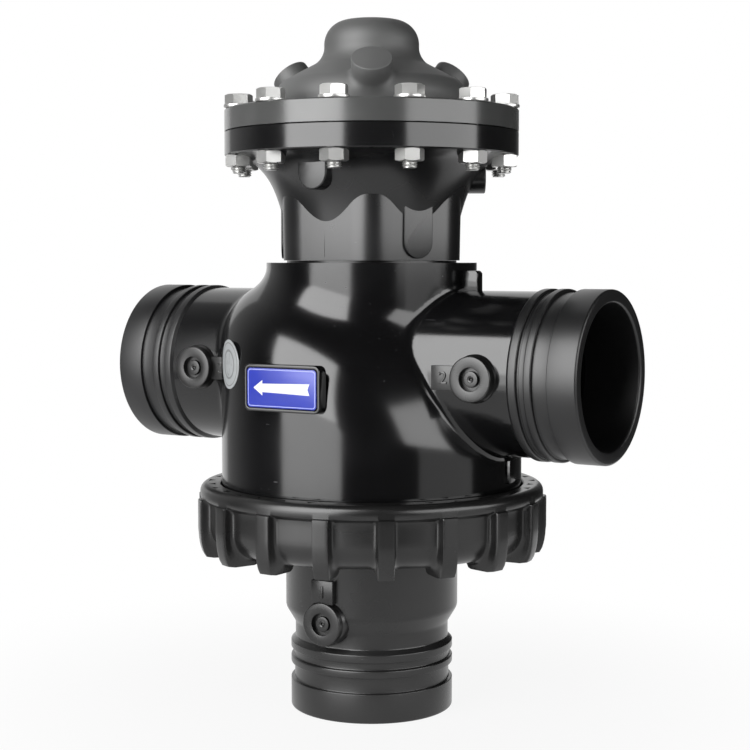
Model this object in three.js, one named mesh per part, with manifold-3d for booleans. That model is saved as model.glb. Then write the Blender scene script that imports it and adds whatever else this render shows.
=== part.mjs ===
// Three-port, two-position diaphragm valve with grooved pipe ends.
// Millimetres, +Z up. The origin is the middle of port 1's end face, at the bottom.
// Port 2 faces +X, port 3 faces -X, and the arrow plate and gauge bosses face -Y.
import * as THREE from "three";
import { mergeVertices } from "three/addons/utils/BufferGeometryUtils.js";
import Module from "manifold-3d";

const wasm = await Module();
wasm.setup();

// ---------------------------------------------------------------- driving dimensions

// Grooved pipe end, nominal 3 inch
const PIPE_OD = 88.9;
const PIPE_BORE = 75;
const COLLAR_WIDTH = 15.9;
const GROOVE_WIDTH = 8.3;
const GROOVE_DEPTH = 1.98;
const RIB_WIDTH = 4.2;
const NOTCH_WIDTH = 4;
const NOTCH_DEPTH = 1.65;
const END_CHAMFER = 1;

// Port 1 tailpiece
const TAIL_LENGTH = 104;
const TAIL_NECK_DIA = 84;
const TAIL_NECK_LENGTH = 8;
const TAIL_TAPER_LENGTH = 8.6;
const TAIL_BARREL_DIA = 94.4;
const TAIL_FLANGE_THICKNESS = 8;
const SEAT_HEIGHT = 4;
const SEAT_WIDTH = 4.5;
const TAIL_SPIGOT_WIDTH = 3.5;
const TAIL_BOSS_WALL = 2; // left between the tail boss's root and the bore

// Valve body
const BODY_DIA = 163.8;
const BODY_WALL = 6.9;
const BODY_HEIGHT = 139.3;
const NECK_DIA = 114.4;
const CREASE_HEIGHT = 116.5; // where the shoulder meets the neck, above the body's lower end
const SHOULDER_DIP = 0.79; // fall of the shoulder for each mm outwards
const SHOULDER_SLANT = 0.34; // fall of the shoulder for each mm towards port 2
const SHOULDER_RADIUS = 20;
const RUN_LENGTH = 283;
const RUN_HEIGHT = 81.8; // port 2 and 3 axis above the body's lower end
const BARREL_DIA = 86;
const TUBE_BORE = 88;
const TUBE_WALL = 8;
const TUBE_SPLIT = 10; // above the side ports' axis, where the tube's node ends
const END_SPLIT = 40; // from a side port's face, where its end's node ends
const UPPER_SEAT_BORE = 72;
const UPPER_SEAT_HEIGHT = 38; // above the body's lower end
const SEAT_FLOOR = 8;
const NECK_BORE = 92.8;
const NECK_BORE_DEPTH = 15.3;
const LUG_WIDTH = 6;
const LUG_HEIGHT = 7;
const LUG_PROUD = 9.5;
const LUG_DROP = 4; // below the neck's top

// Gauge bosses and numbered tabs
const BOSS_DIA = 23;
const BOSS_PROUD = 5.5;
const TAIL_BOSS_PROUD = 4.3;
const BOSS_RECESS_DIA = 11.8;
const BOSS_RECESS_DEPTH = 3;
const BOSS_PIN_DIA = 7.4;
const SIDE_BOSS_INSET = 55.5; // from the port's end face
const TAIL_BOSS_HEIGHT = 53.4;
const TAB_SIZE = 12;
const TAB_PROUD = 3.4;
const TAB_OVERLAP = 0.5; // of a tab with its boss
const BOSS_ROOT = 8; // how deep a side boss reaches into its barrel
const TAB_ROOT = 6;

// Arrow plate and sticker
const PAD_WIDTH = 46;
const PAD_HEIGHT = 24;
const PAD_PROUD = 3.2;
const PAD_HEIGHT_ABOVE_END = 76.2;
const PAD_OFFSET = -1.5;
const PLATE_MARGIN = 2;
const PLATE_THICKNESS = 0.8;
const PAD_CORNER_RADIUS = 3;
const RECESS_CORNER_RADIUS = 2;
const PLATE_CORNER_RADIUS = 1.6;
const STICKER_DIA = 26;
const STICKER_THICKNESS = 0.4;
const STICKER_TURN = -35; // degrees from the front towards port 2
const STICKER_HEIGHT = 86;

// Union nut
const NUT_HEIGHT = 34.5;
const NUT_LIP_THICKNESS = 6.2;
const NUT_LIP_BORE = 100;
const NUT_WALL = 7.2;
const NUT_CORNER_RADIUS = 13;
const NUT_BAND_HEIGHT = 9;
const NUT_BAND_PROUD = 3.8;
const NUT_RIB_COUNT = 18;
const NUT_RIB_WIDTH = 8;
const NUT_RIB_PROUD = 5.6;
const NUT_RIB_DROP = 4;
const NUT_BAND_CHAMFER = 2.5; // taken off the band's upper edge, inwards
const NUT_BAND_CHAMFER_HEIGHT = 3;
const NUT_BAND_SLOPE = 2; // height of the band's lower slope
const NUT_RIB_TOE = 4.6; // how far a rib's lower end stands back from its face
const NUT_RIB_KNEE = 1.8;
const NUT_RIB_TOE_HEIGHT = 4;
const NUT_RIB_KNEE_HEIGHT = 9;
const NUT_RIB_TURN = 35.8; // degrees from the front to the first rib
const NUT_POCKET_DEPTH = 8;
const NUT_POCKET_WIDTH = 3;
const NUT_POCKET_WEB = 4;
const NUT_POCKET_INSET = 3.2; // wall between the thread and a pocket

// Actuator base and bonnet
const BASE_GAP = 1.2;
const ACTUATOR_TURN = 1.5; // degrees, where the actuator's thread comes tight
const BASE_HEIGHT = 69;
const BASE_FLOOR = 10;
const BASE_FLOOR_LIFT = 3.5; // from the base's lower face to the floor's underside
const BASE_WALL = 7;
const BELL_FOOT_DIA = 89;
const BELL_TOP_DIA = 111.2;
const BELL_HEIGHT = 46.5;
const HEX_FLATS = 94.6;
const HEX_CORNER_RADIUS = 22;
const HEX_HEIGHT = 34.5;
const SPIGOT_WALL = 7;
const GUIDE_DIA = 34;
const FLANGE_DIA = 159;
const LOWER_FLANGE_THICKNESS = 13;
const UPPER_FLANGE_THICKNESS = 11.7;
const TONGUE_WIDTH = 17;
const UPPER_TONGUE_REACH = 61.5;
const UPPER_TONGUE_LENGTH = 19.8;
const LOWER_TONGUE_REACH = 48.8;
const LOWER_TONGUE_LENGTH = 29.5;
const UPPER_TONGUE_DEPTH = 16;
const LOWER_TONGUE_DEPTH = 9;
const FLARE_GAP = 1.8; // between the flare under the flange and the bolt heads' flats
const FLARE = [[6, 4.5], [1, 1.2]]; // the flare's points: inside its rim, below the flange
const CHAMBER_EASE = [[1, 3], [0, 5]]; // the cavity's points: inside its rim, above the flange's foot
const VENT_DIA = 4;
const VENT_TURN = 150; // degrees from the front towards port 2
const VENT_DROP = 16; // below the flange
const VENT_SPAN = [30, 80]; // how far from the axis the vent's drill starts and ends
const BONNET_HEIGHT = 59.8;
const BONNET_WALL = 5;
const DOME_DIA = 51.2;
const DOME_CORNER_RADIUS = 14;
const CONE_TOP_DIA = 62;
const CONE_TOP_HEIGHT = 24.3; // above the flange's top
const CONE_FOOT_DIA = 105;
const CONE_FOOT_HEIGHT = 12.8;
const CONE_CORNER_RADIUS = 6;
const DOME_FILLET = 5.4;
const BONNET_BOSS_DIA = 21.4;
const BONNET_BOSS_LENGTH = 22;
const BONNET_BOSS_RADIUS = 52.5;
const BONNET_BOSS_TOP = 22.2; // end face's middle above the flange's top
const BONNET_BOSS_PITCH = 50; // degrees above level
const CONTROL_PORT_DIA = 8.6;
const CONTROL_PORT_TURN = 150; // degrees from the front towards port 2

// Flange bolts, M8
const BOLT_COUNT = 12;
const BOLT_CIRCLE = 145.6;
const BOLT_DIA = 8;
const BOLT_HOLE_DIA = 9;
const BOLT_HEAD_FLATS = 13;
const BOLT_HEAD_HEIGHT = 5.3;
const BOLT_NUT_HEIGHT = 6.5;
const BOLT_END = 3.5;
const WASHER_DIA = 16;
const WASHER_THICKNESS = 1.6;
const NUT_THREAD_CLEARANCE = 0.35;

// Trim: diaphragm, plates, stem, plug, spring and seals
const STROKE = 20;
const DIAPHRAGM_THICKNESS = 2.6;
const DIAPHRAGM_RIM = 8.5;
const DIAPHRAGM_GAP = 1.8; // between the diaphragm's edge and the bolt holes
const PLATE_DIA = 76;
const PLATE_DISC_THICKNESS = 4;
const STEM_DIA = 14;
const STEM_THREAD_DIA = 12;
const STEM_NUT_FLATS = 19;
const STEM_NUT_HEIGHT = 10;
const STEM_END = 4;
const PLUG_DIA = 86;
const SEAL_DISC_THICKNESS = 2.5;
const BUSH_DIA = 22;
const BUSH_LENGTH = 24;
const STEM_SEAL_SECTION = 3.6;
const NECK_SEAL_SECTION = 3;
const TAIL_SEAL_SECTION = 2.6;
const SPRING_DIA = 48;
const SPRING_WIRE = 4;
const SPRING_COILS = 6;

// Clearances
const CLEAR = 0.3; // between a piece and its seat
const RUNNING = 0.3; // round a piece that slides
const THREAD = 0.5; // round a thread that is left plain
const NUT_CLEAR = 0.9; // round the union nut's thread, so that its flats turn freely

// ---------------------------------------------------------------- derived places

const PIPE_R = PIPE_OD / 2;
const BODY_R = BODY_DIA / 2;
const CHAMBER_R = BODY_R - BODY_WALL;
const BODY_BOTTOM = TAIL_LENGTH;
const BODY_TOP = BODY_BOTTOM + BODY_HEIGHT;
const RUN_Z = BODY_BOTTOM + RUN_HEIGHT;
const TUBE_R = TUBE_BORE / 2 + TUBE_WALL;
const UPPER_SEAT_Z = BODY_BOTTOM + UPPER_SEAT_HEIGHT;
const LOWER_SEAT_Z = BODY_BOTTOM + SEAT_HEIGHT;
const BASE_BOTTOM = BODY_TOP + BASE_GAP;
const SPLIT_Z = BASE_BOTTOM + BASE_HEIGHT;
const LOWER_FLANGE_Z = SPLIT_Z - LOWER_FLANGE_THICKNESS;
const UPPER_FLANGE_Z = SPLIT_Z + UPPER_FLANGE_THICKNESS;
const BONNET_TOP = SPLIT_Z + BONNET_HEIGHT;
const FLOOR_Z = BASE_BOTTOM + BASE_FLOOR_LIFT + BASE_FLOOR;
const GUIDE_TOP = FLOOR_Z + SPRING_WIRE;
const SPIGOT_BOTTOM = BODY_TOP - NECK_BORE_DEPTH + CLEAR;
const SPIGOT_R = NECK_BORE / 2 - CLEAR;
const DIAPHRAGM_R = (BOLT_CIRCLE - BOLT_HOLE_DIA) / 2 - DIAPHRAGM_GAP;
const CHAMBER_FOOT_R = DIAPHRAGM_R - DIAPHRAGM_RIM;
const CLAMP_HEIGHT = DIAPHRAGM_THICKNESS + 2 * CLEAR;
const CLAMP_Z = SPLIT_Z + CLAMP_HEIGHT / 2;
const MIDDLE_Z = CLAMP_Z + STROKE / 2;
const LOWER_PLATE_TOP = MIDDLE_Z - DIAPHRAGM_THICKNESS / 2 - CLEAR;
const LOWER_PLATE_BOTTOM = LOWER_PLATE_TOP - PLATE_DISC_THICKNESS;
const UPPER_PLATE_BOTTOM = MIDDLE_Z + DIAPHRAGM_THICKNESS / 2 + CLEAR;
const UPPER_PLATE_TOP = UPPER_PLATE_BOTTOM + PLATE_DISC_THICKNESS;
const STEM_TOP = UPPER_PLATE_TOP + STEM_NUT_HEIGHT + STEM_END;
const PLUG_STACK_TOP = UPPER_SEAT_Z - CLEAR;
const PLUG_STACK_BOTTOM = LOWER_SEAT_Z + STROKE + CLEAR;
const STEM_BOTTOM = PLUG_STACK_BOTTOM - STEM_NUT_HEIGHT - STEM_END;
const NUT_BOTTOM = BODY_BOTTOM - TAIL_FLANGE_THICKNESS - CLEAR - NUT_LIP_THICKNESS;
const NUT_TOP = NUT_BOTTOM + NUT_HEIGHT;
const NUT_BORE_R = BODY_R + NUT_CLEAR;
const NUT_R = NUT_BORE_R + NUT_WALL;
const TAIL_FLANGE_R = BODY_R - THREAD - CLEAR;
const SMOOTH = 28; // sides of a large round
const MEDIUM = 16; // sides of a middling round
const SMALL = 8; // sides of a bolt or its hole

// ---------------------------------------------------------------- finishes

function finish(color, roughness, metalness = 0) {
  return new THREE.MeshStandardMaterial({ color, roughness, metalness });
}

const glossBlack = finish(0x101113, 0.28);
const mattGrey = finish(0x3b3e41, 0.6);
const stainless = finish(0xc4c6c8, 0.3, 1);
const zincPlate = finish(0xa9adb2, 0.45, 1);
const springSteel = finish(0x6f7276, 0.4, 1);
const rubber = finish(0x17171a, 0.85);
const acetal = finish(0xe6e2d6, 0.45);
const plateBlue = finish(0x2a46b8, 0.4);
const silverFoil = finish(0xd6d8da, 0.35, 0.6);

// ---------------------------------------------------------------- shape helpers

// A closed geometry as a solid whose faces point out.
function solid(geometry) {
  const plain = geometry.clone();
  for (const attribute of ["normal", "uv"]) plain.deleteAttribute(attribute);
  const merged = mergeVertices(plain, 1e-4);
  const corners = merged.index.array;
  const triangles = [];
  for (let i = 0; i < corners.length; i += 3) {
    const [a, b, c] = corners.slice(i, i + 3);
    if (a !== b && b !== c && c !== a) triangles.push(a, b, c);
  }
  const vertProperties = merged.attributes.position.array;
  const build = (triVerts) =>
    new wasm.Manifold(new wasm.Mesh({ numProp: 3, vertProperties, triVerts }));
  const made = build(new Uint32Array(triangles));
  return made.volume() > 0 ? made : build(new Uint32Array(triangles.reverse()));
}

const join = (first, ...others) => others.reduce((sum, other) => sum.add(other), first);
const cut = (first, ...tools) => tools.reduce((rest, tool) => rest.subtract(tool), first);

// A revolve about Z. The outline is a list of [radius, height] that closes on itself.
function revolve(outline, sides = SMOOTH) {
  const loop = [...outline, outline[0]].map(([r, z]) => new THREE.Vector2(r, z));
  return new THREE.LatheGeometry(loop, sides).rotateX(Math.PI / 2);
}

function disc(diameter, bottom, top, sides = SMOOTH) {
  const r = diameter / 2;
  return revolve([[0, bottom], [r, bottom], [r, top], [0, top]], sides);
}

function ring(outer, inner, bottom, top, sides = SMOOTH) {
  const [ro, ri] = [outer / 2, inner / 2];
  return revolve([[ri, bottom], [ro, bottom], [ro, top], [ri, top]], sides);
}

function sealRing(middleDiameter, section, middleHeight, sides = MEDIUM) {
  return new THREE.TorusGeometry(middleDiameter / 2, section / 2, 6, sides).translate(0, 0, middleHeight);
}

// The points of an arc that rounds the corner b between a and c.
function roundCorner(a, b, c, radius, steps = 4) {
  const [from, corner, to] = [a, b, c].map(([x, y]) => new THREE.Vector2(x, y));
  const u = from.sub(corner).normalize();
  const v = to.sub(corner).normalize();
  const half = Math.acos(THREE.MathUtils.clamp(u.dot(v), -1, 1)) / 2;
  const middle = u.clone().add(v).normalize().multiplyScalar(radius / Math.sin(half)).add(corner);
  const start = u.clone().multiplyScalar(radius / Math.tan(half)).add(corner).sub(middle);
  const end = v.clone().multiplyScalar(radius / Math.tan(half)).add(corner).sub(middle);
  let sweep = end.angle() - start.angle();
  if (sweep > Math.PI) sweep -= 2 * Math.PI;
  if (sweep < -Math.PI) sweep += 2 * Math.PI;
  return Array.from({ length: steps + 1 }, (_, i) => {
    const angle = start.angle() + (sweep * i) / steps;
    return [middle.x + radius * Math.cos(angle), middle.y + radius * Math.sin(angle)];
  });
}

// A prism from a closed list of [x, y], standing on the given height.
function prism(points, bottom, top) {
  const shape = new THREE.Shape(points.map(([x, y]) => new THREE.Vector2(x, y)));
  const options = { depth: top - bottom, bevelEnabled: false, steps: 1 };
  return new THREE.ExtrudeGeometry(shape, options).translate(0, 0, bottom);
}

function polygon(sides, flats, turn = 0) {
  const corner = flats / 2 / Math.cos(Math.PI / sides);
  return Array.from({ length: sides }, (_, i) => {
    const angle = ((i + 0.5) / sides) * 2 * Math.PI + turn;
    return [corner * Math.cos(angle), corner * Math.sin(angle)];
  });
}

function roundedPolygon(points, radius, steps = 4) {
  const at = (i) => points[(i + points.length) % points.length];
  return points.flatMap((point, i) => roundCorner(at(i - 1), point, at(i + 1), radius, steps));
}

const rectangle = (width, height) => {
  const [x, y] = [width / 2, height / 2];
  return [[-x, -y], [x, -y], [x, y], [-x, y]];
};

// A tongue outline: flat on top at height 0, with a half-round lower end.
function tongueOutline(width, length) {
  const r = width / 2;
  const steps = 6;
  const round = Array.from({ length: steps + 1 }, (_, i) => {
    const angle = Math.PI + (Math.PI * i) / steps;
    return [r * Math.cos(angle), r - length + r * Math.sin(angle)];
  });
  return [[r, 0], [-r, 0], ...round];
}

// Turns what stands along +Z so that it runs along +X, -X or towards the front (-Y).
const towardsPort2 = (geometry) => geometry.rotateY(Math.PI / 2);
const towardsPort3 = (geometry) => geometry.rotateY(-Math.PI / 2);
const towardsFront = (geometry) => geometry.rotateX(Math.PI / 2);

// Places what faces the front at an angle round Z, counted from the front towards port 2.
const turned = (geometry, degrees) => geometry.rotateZ(THREE.MathUtils.degToRad(degrees));

// A point at a radius and an angle round Z, counted from the front towards port 2.
function around(radius, degrees) {
  const angle = THREE.MathUtils.degToRad(degrees);
  return [radius * Math.sin(angle), -radius * Math.cos(angle)];
}

// ---------------------------------------------------------------- grooved pipe end

// Outer outline of a grooved end as [radius, distance from its face], ending on the barrel.
function groovedOutline(barrelR) {
  const grooveR = PIPE_R - GROOVE_DEPTH;
  const notchR = PIPE_R - NOTCH_DEPTH;
  const groove = COLLAR_WIDTH + GROOVE_WIDTH;
  const notch = groove + RIB_WIDTH;
  const rib = notch + NOTCH_WIDTH;
  const root = rib + RIB_WIDTH;
  return [
    [PIPE_R - END_CHAMFER, 0], [PIPE_R, END_CHAMFER], [PIPE_R, COLLAR_WIDTH],
    [grooveR, COLLAR_WIDTH], [grooveR, groove], [PIPE_R, groove], [PIPE_R, notch],
    [notchR, notch], [notchR, rib], [PIPE_R, rib], [PIPE_R, root],
    [barrelR, root + PIPE_R - barrelR],
  ];
}

// A gauge boss with a recess round a pin; its end face is faceY in front of the axis.
function gaugeBoss(x, faceY, z, depth) {
  const boss = solid(disc(BOSS_DIA, -depth, 0, MEDIUM));
  const recess = solid(ring(BOSS_RECESS_DIA, BOSS_PIN_DIA, -BOSS_RECESS_DEPTH, 1, 16));
  return placeFront(cut(boss, recess), x, faceY, z);
}

// Moves a solid made along +Z to the front: its z = 0 plane comes to y = -faceY.
function placeFront(made, x, faceY, z) {
  return made.rotate([90, 0, 0]).translate([x, -faceY, z]);
}

function numberTab(x, faceY, z, depth) {
  return placeFront(solid(prism(rectangle(TAB_SIZE, TAB_SIZE), -depth, 0)), x, faceY, z);
}

// ---------------------------------------------------------------- valve body

// Outline of the body's shoulder, moved in by the given wall, before it is slanted.
function shoulderOutline(outerR, innerR, wall) {
  const slope = Math.hypot(1, SHOULDER_DIP);
  const heightAt = (r) =>
    BODY_BOTTOM + CREASE_HEIGHT + (NECK_DIA / 2 - r) * SHOULDER_DIP - wall * slope;
  const [edge, inner] = [[outerR, heightAt(outerR)], [innerR, heightAt(innerR)]];
  const foot = [outerR, BODY_BOTTOM - BODY_R];
  return [
    [0, foot[1]], foot,
    ...roundCorner(foot, edge, inner, SHOULDER_RADIUS - wall, 4),
    inner, [0, inner[1]],
  ];
}

// Slants a geometry so that it falls towards port 2.
function slanted(geometry) {
  const lean = new THREE.Matrix4().set(1, 0, 0, 0, 0, 1, 0, 0, -SHOULDER_SLANT, 0, 1, 0, 0, 0, 0, 1);
  return geometry.applyMatrix4(lean);
}

function bodyOuter() {
  const slab = solid(disc(2 * BODY_DIA, BODY_BOTTOM, BODY_TOP + BODY_R, 8));
  const shell = solid(slanted(revolve(shoulderOutline(BODY_R, NECK_DIA / 2, 0)))).intersect(slab);
  const neck = solid(disc(NECK_DIA, BODY_BOTTOM + SEAT_HEIGHT, BODY_TOP));
  const half = RUN_LENGTH / 2;
  const end = groovedOutline(BARREL_DIA / 2).map(([r, s]) => [r, half - s]);
  const outline = [[0, half], ...end, [BARREL_DIA / 2, 0], [0, 0]];
  const run = join(
    solid(towardsPort2(revolve(outline))),
    solid(towardsPort3(revolve(outline))),
  ).translate([0, 0, RUN_Z]);
  return join(shell, neck, run);
}

function bodyTrimmings() {
  const faceY = BARREL_DIA / 2 + BOSS_PROUD;
  const bossX = RUN_LENGTH / 2 - SIDE_BOSS_INSET;
  const tabX = bossX - BOSS_DIA / 2 - TAB_SIZE / 2 + TAB_OVERLAP;
  const tabY = BARREL_DIA / 2 + TAB_PROUD;
  const depth = BOSS_PROUD + BOSS_ROOT;
  const sides = [1, -1].flatMap((side) => [
    gaugeBoss(side * bossX, faceY, RUN_Z, depth),
    numberTab(side * tabX, tabY, RUN_Z, TAB_PROUD + TAB_ROOT),
  ]);
  const margin = 2 * (PLATE_MARGIN - CLEAR);
  const padOutline = roundedPolygon(rectangle(PAD_WIDTH, PAD_HEIGHT), PAD_CORNER_RADIUS, 3);
  const recessOutline = roundedPolygon(
    rectangle(PAD_WIDTH - margin, PAD_HEIGHT - margin), RECESS_CORNER_RADIUS, 3);
  const pad = cut(
    solid(prism(padOutline, -PAD_PROUD - BODY_WALL, 0)),
    solid(prism(recessOutline, -PLATE_THICKNESS, 1)),
  );
  const lug = solid(new THREE.BoxGeometry(2 * LUG_PROUD, LUG_WIDTH, 2 * LUG_HEIGHT))
    .translate([NECK_DIA / 2, 0, BODY_TOP - LUG_DROP - LUG_HEIGHT]);
  const placed = placeFront(pad, PAD_OFFSET, BODY_R + PAD_PROUD, BODY_BOTTOM + PAD_HEIGHT_ABOVE_END);
  return join(placed, lug, ...sides);
}

// What the water flows through: the lower chamber round the tube, the tube and the bores.
function bodyHollow() {
  const chamber = solid(slanted(revolve(shoulderOutline(CHAMBER_R, TUBE_R, BODY_WALL))));
  const tube = solid(disc(2 * TUBE_R, UPPER_SEAT_Z, BODY_TOP + BODY_R));
  const crossing = solid(towardsPort2(disc(BARREL_DIA, 0, RUN_LENGTH / 2))).translate([0, 0, RUN_Z]);
  const half = RUN_LENGTH / 2;
  const bore = () => disc(PIPE_BORE, 0, half + 1);
  const leftBore = cut(solid(towardsPort3(bore())).translate([0, 0, RUN_Z]),
    solid(disc(2 * TUBE_R + 1, BODY_BOTTOM, BODY_TOP)));
  return join(
    cut(chamber, tube, crossing),
    leftBore,
    solid(towardsPort2(bore())).translate([0, 0, RUN_Z]),
    solid(disc(TUBE_BORE, UPPER_SEAT_Z + SEAT_FLOOR, BODY_TOP - NECK_BORE_DEPTH + 1)),
    solid(disc(UPPER_SEAT_BORE, UPPER_SEAT_Z - 1, UPPER_SEAT_Z + SEAT_FLOOR + 1)),
    solid(disc(NECK_BORE, BODY_TOP - NECK_BORE_DEPTH, BODY_TOP + 1)),
  );
}

// One moulding in four nodes, so that each one's collision can stay open: the shell, the tube in it and both ends.
function bodyNodes() {
  const whole = cut(join(bodyOuter(), bodyTrimmings()), bodyHollow());
  const half = RUN_LENGTH / 2;
  const beyond = (start) => disc(2 * PIPE_OD, start, half + 1);
  const endZone = (place, start) => solid(place(beyond(start))).translate([0, 0, RUN_Z]);
  const tubeZone = (gap) => solid(disc(2 * (TUBE_R + gap), UPPER_SEAT_Z - 1, RUN_Z + TUBE_SPLIT + gap));
  const ends = half - END_SPLIT;
  return {
    shell: cut(whole, tubeZone(CLEAR), endZone(towardsPort2, ends - CLEAR), endZone(towardsPort3, ends - CLEAR)),
    tube: whole.intersect(tubeZone(0)),
    port2End: whole.intersect(endZone(towardsPort2, ends)),
    port3End: whole.intersect(endZone(towardsPort3, ends)),
  };
}

// ---------------------------------------------------------------- tailpiece and union nut

function tailpiece() {
  const neckR = TAIL_NECK_DIA / 2;
  const end = groovedOutline(neckR);
  const neckTop = end.at(-1)[1] + TAIL_NECK_LENGTH;
  const barrelR = TAIL_BARREL_DIA / 2;
  const boreR = PIPE_BORE / 2;
  const flangeBottom = BODY_BOTTOM - TAIL_FLANGE_THICKNESS;
  const spigotR = CHAMBER_R - THREAD;
  const turnedShape = revolve([
    ...end, [neckR, neckTop], [barrelR, neckTop + TAIL_TAPER_LENGTH],
    [barrelR, flangeBottom], [TAIL_FLANGE_R, flangeBottom], [TAIL_FLANGE_R, BODY_BOTTOM],
    [spigotR, BODY_BOTTOM], [spigotR, LOWER_SEAT_Z], [spigotR - TAIL_SPIGOT_WIDTH, LOWER_SEAT_Z],
    [spigotR - TAIL_SPIGOT_WIDTH, BODY_BOTTOM], [boreR + SEAT_WIDTH, BODY_BOTTOM],
    [boreR + SEAT_WIDTH, LOWER_SEAT_Z], [boreR, LOWER_SEAT_Z], [boreR, 0],
  ]);
  const faceY = barrelR + TAIL_BOSS_PROUD;
  const tabY = barrelR + TAB_PROUD;
  const tabZ = TAIL_BOSS_HEIGHT + BOSS_DIA / 2 + TAB_SIZE / 2 + TAB_OVERLAP;
  const grooveWidth = TAIL_SEAL_SECTION + 2 * CLEAR;
  const sealGroove = solid(ring(
    2 * tailSealR() + grooveWidth,
    2 * tailSealR() - grooveWidth,
    BODY_BOTTOM - TAIL_SEAL_SECTION - CLEAR,
    BODY_BOTTOM + 1,
  ));
  const boss = gaugeBoss(0, faceY, TAIL_BOSS_HEIGHT, faceY - boreR - TAIL_BOSS_WALL);
  const tab = numberTab(0, tabY, tabZ, TAB_PROUD + TAB_ROOT);
  return cut(join(solid(turnedShape), boss, tab), sealGroove);
}

// The tailpiece's seal lies in the middle of the body's end ring.
function tailSealR() {
  return (CHAMBER_R + TAIL_FLANGE_R) / 2;
}

function unionNut() {
  const bandR = NUT_R + NUT_BAND_PROUD;
  const bandBottom = NUT_TOP - NUT_BAND_HEIGHT;
  const lipTop = NUT_BOTTOM + NUT_LIP_THICKNESS;
  const lipR = NUT_LIP_BORE / 2;
  const slopeTop = bandBottom + NUT_BAND_SLOPE;
  const lowerCorner = roundCorner(
    [lipR, NUT_BOTTOM], [NUT_R, NUT_BOTTOM], [NUT_R, NUT_TOP], NUT_CORNER_RADIUS, 3);
  const shell = solid(revolve([
    [lipR, NUT_BOTTOM], ...lowerCorner, [NUT_R, bandBottom], [bandR, slopeTop],
    [bandR, NUT_TOP - NUT_BAND_CHAMFER_HEIGHT], [bandR - NUT_BAND_CHAMFER, NUT_TOP],
    [NUT_BORE_R, NUT_TOP], [NUT_BORE_R, lipTop], [lipR, lipTop],
  ]));
  const reach = NUT_R + NUT_RIB_PROUD;
  const ribBottom = NUT_BOTTOM - NUT_RIB_DROP;
  const ribOutline = [
    [NUT_R - NUT_CORNER_RADIUS - 2, NUT_BOTTOM + 1], [NUT_R - NUT_CORNER_RADIUS, ribBottom],
    [reach - NUT_RIB_TOE, ribBottom], [reach - NUT_RIB_KNEE, ribBottom + NUT_RIB_TOE_HEIGHT],
    [reach, ribBottom + NUT_RIB_KNEE_HEIGHT], [reach, slopeTop],
    [NUT_R - 1, slopeTop], [NUT_R - 1, NUT_BOTTOM + NUT_CORNER_RADIUS],
    [NUT_R - NUT_CORNER_RADIUS / 3, NUT_BOTTOM + NUT_CORNER_RADIUS / 3],
  ];
  const rib = solid(prism(ribOutline, -NUT_RIB_WIDTH / 2, NUT_RIB_WIDTH / 2)).rotate([90, 0, 0]);
  const pitch = 360 / NUT_RIB_COUNT;
  const pocketR = NUT_BORE_R + NUT_POCKET_INSET + NUT_POCKET_WIDTH / 2;
  const pocketLength = 2 * pocketR * Math.tan(Math.PI / NUT_RIB_COUNT) - NUT_POCKET_WEB;
  const pocket = solid(new THREE.BoxGeometry(NUT_POCKET_WIDTH, pocketLength, 2 * NUT_POCKET_DEPTH))
    .translate([pocketR, 0, NUT_TOP]);
  const first = NUT_RIB_TURN - 90;
  const turns = Array.from({ length: NUT_RIB_COUNT }, (_, i) => first + i * pitch);
  const ribs = turns.map((turn) => rib.rotate([0, 0, turn]));
  const pockets = turns.map((turn) => pocket.rotate([0, 0, turn + pitch / 2]));
  return cut(join(shell, ...ribs), ...pockets);
}

// ---------------------------------------------------------------- actuator base and bonnet

function boltHoles(bottom, top) {
  return boltTurns().map((turn) => {
    const [x, y] = around(BOLT_CIRCLE / 2, turn);
    return solid(disc(BOLT_HOLE_DIA, bottom, top, SMALL)).translate([x, y, 0]);
  });
}

function boltTurns() {
  const pitch = 360 / BOLT_COUNT;
  return Array.from({ length: BOLT_COUNT }, (_, i) => pitch * (i + 0.5));
}

function bellRadius(z) {
  const share = (z - BASE_BOTTOM) / BELL_HEIGHT;
  return BELL_FOOT_DIA / 2 + ((BELL_TOP_DIA - BELL_FOOT_DIA) / 2) * share ** 1.6;
}

function bellOutline() {
  const steps = 5;
  return Array.from({ length: steps + 1 }, (_, i) => {
    const z = BASE_BOTTOM + (BELL_HEIGHT * i) / steps;
    return [bellRadius(z), z];
  });
}

function tongue(length, reach, depth, top, turn) {
  const made = prism(tongueOutline(TONGUE_WIDTH, length), reach - depth, reach);
  return solid(turned(towardsFront(made).translate(0, 0, top), turn));
}

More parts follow.
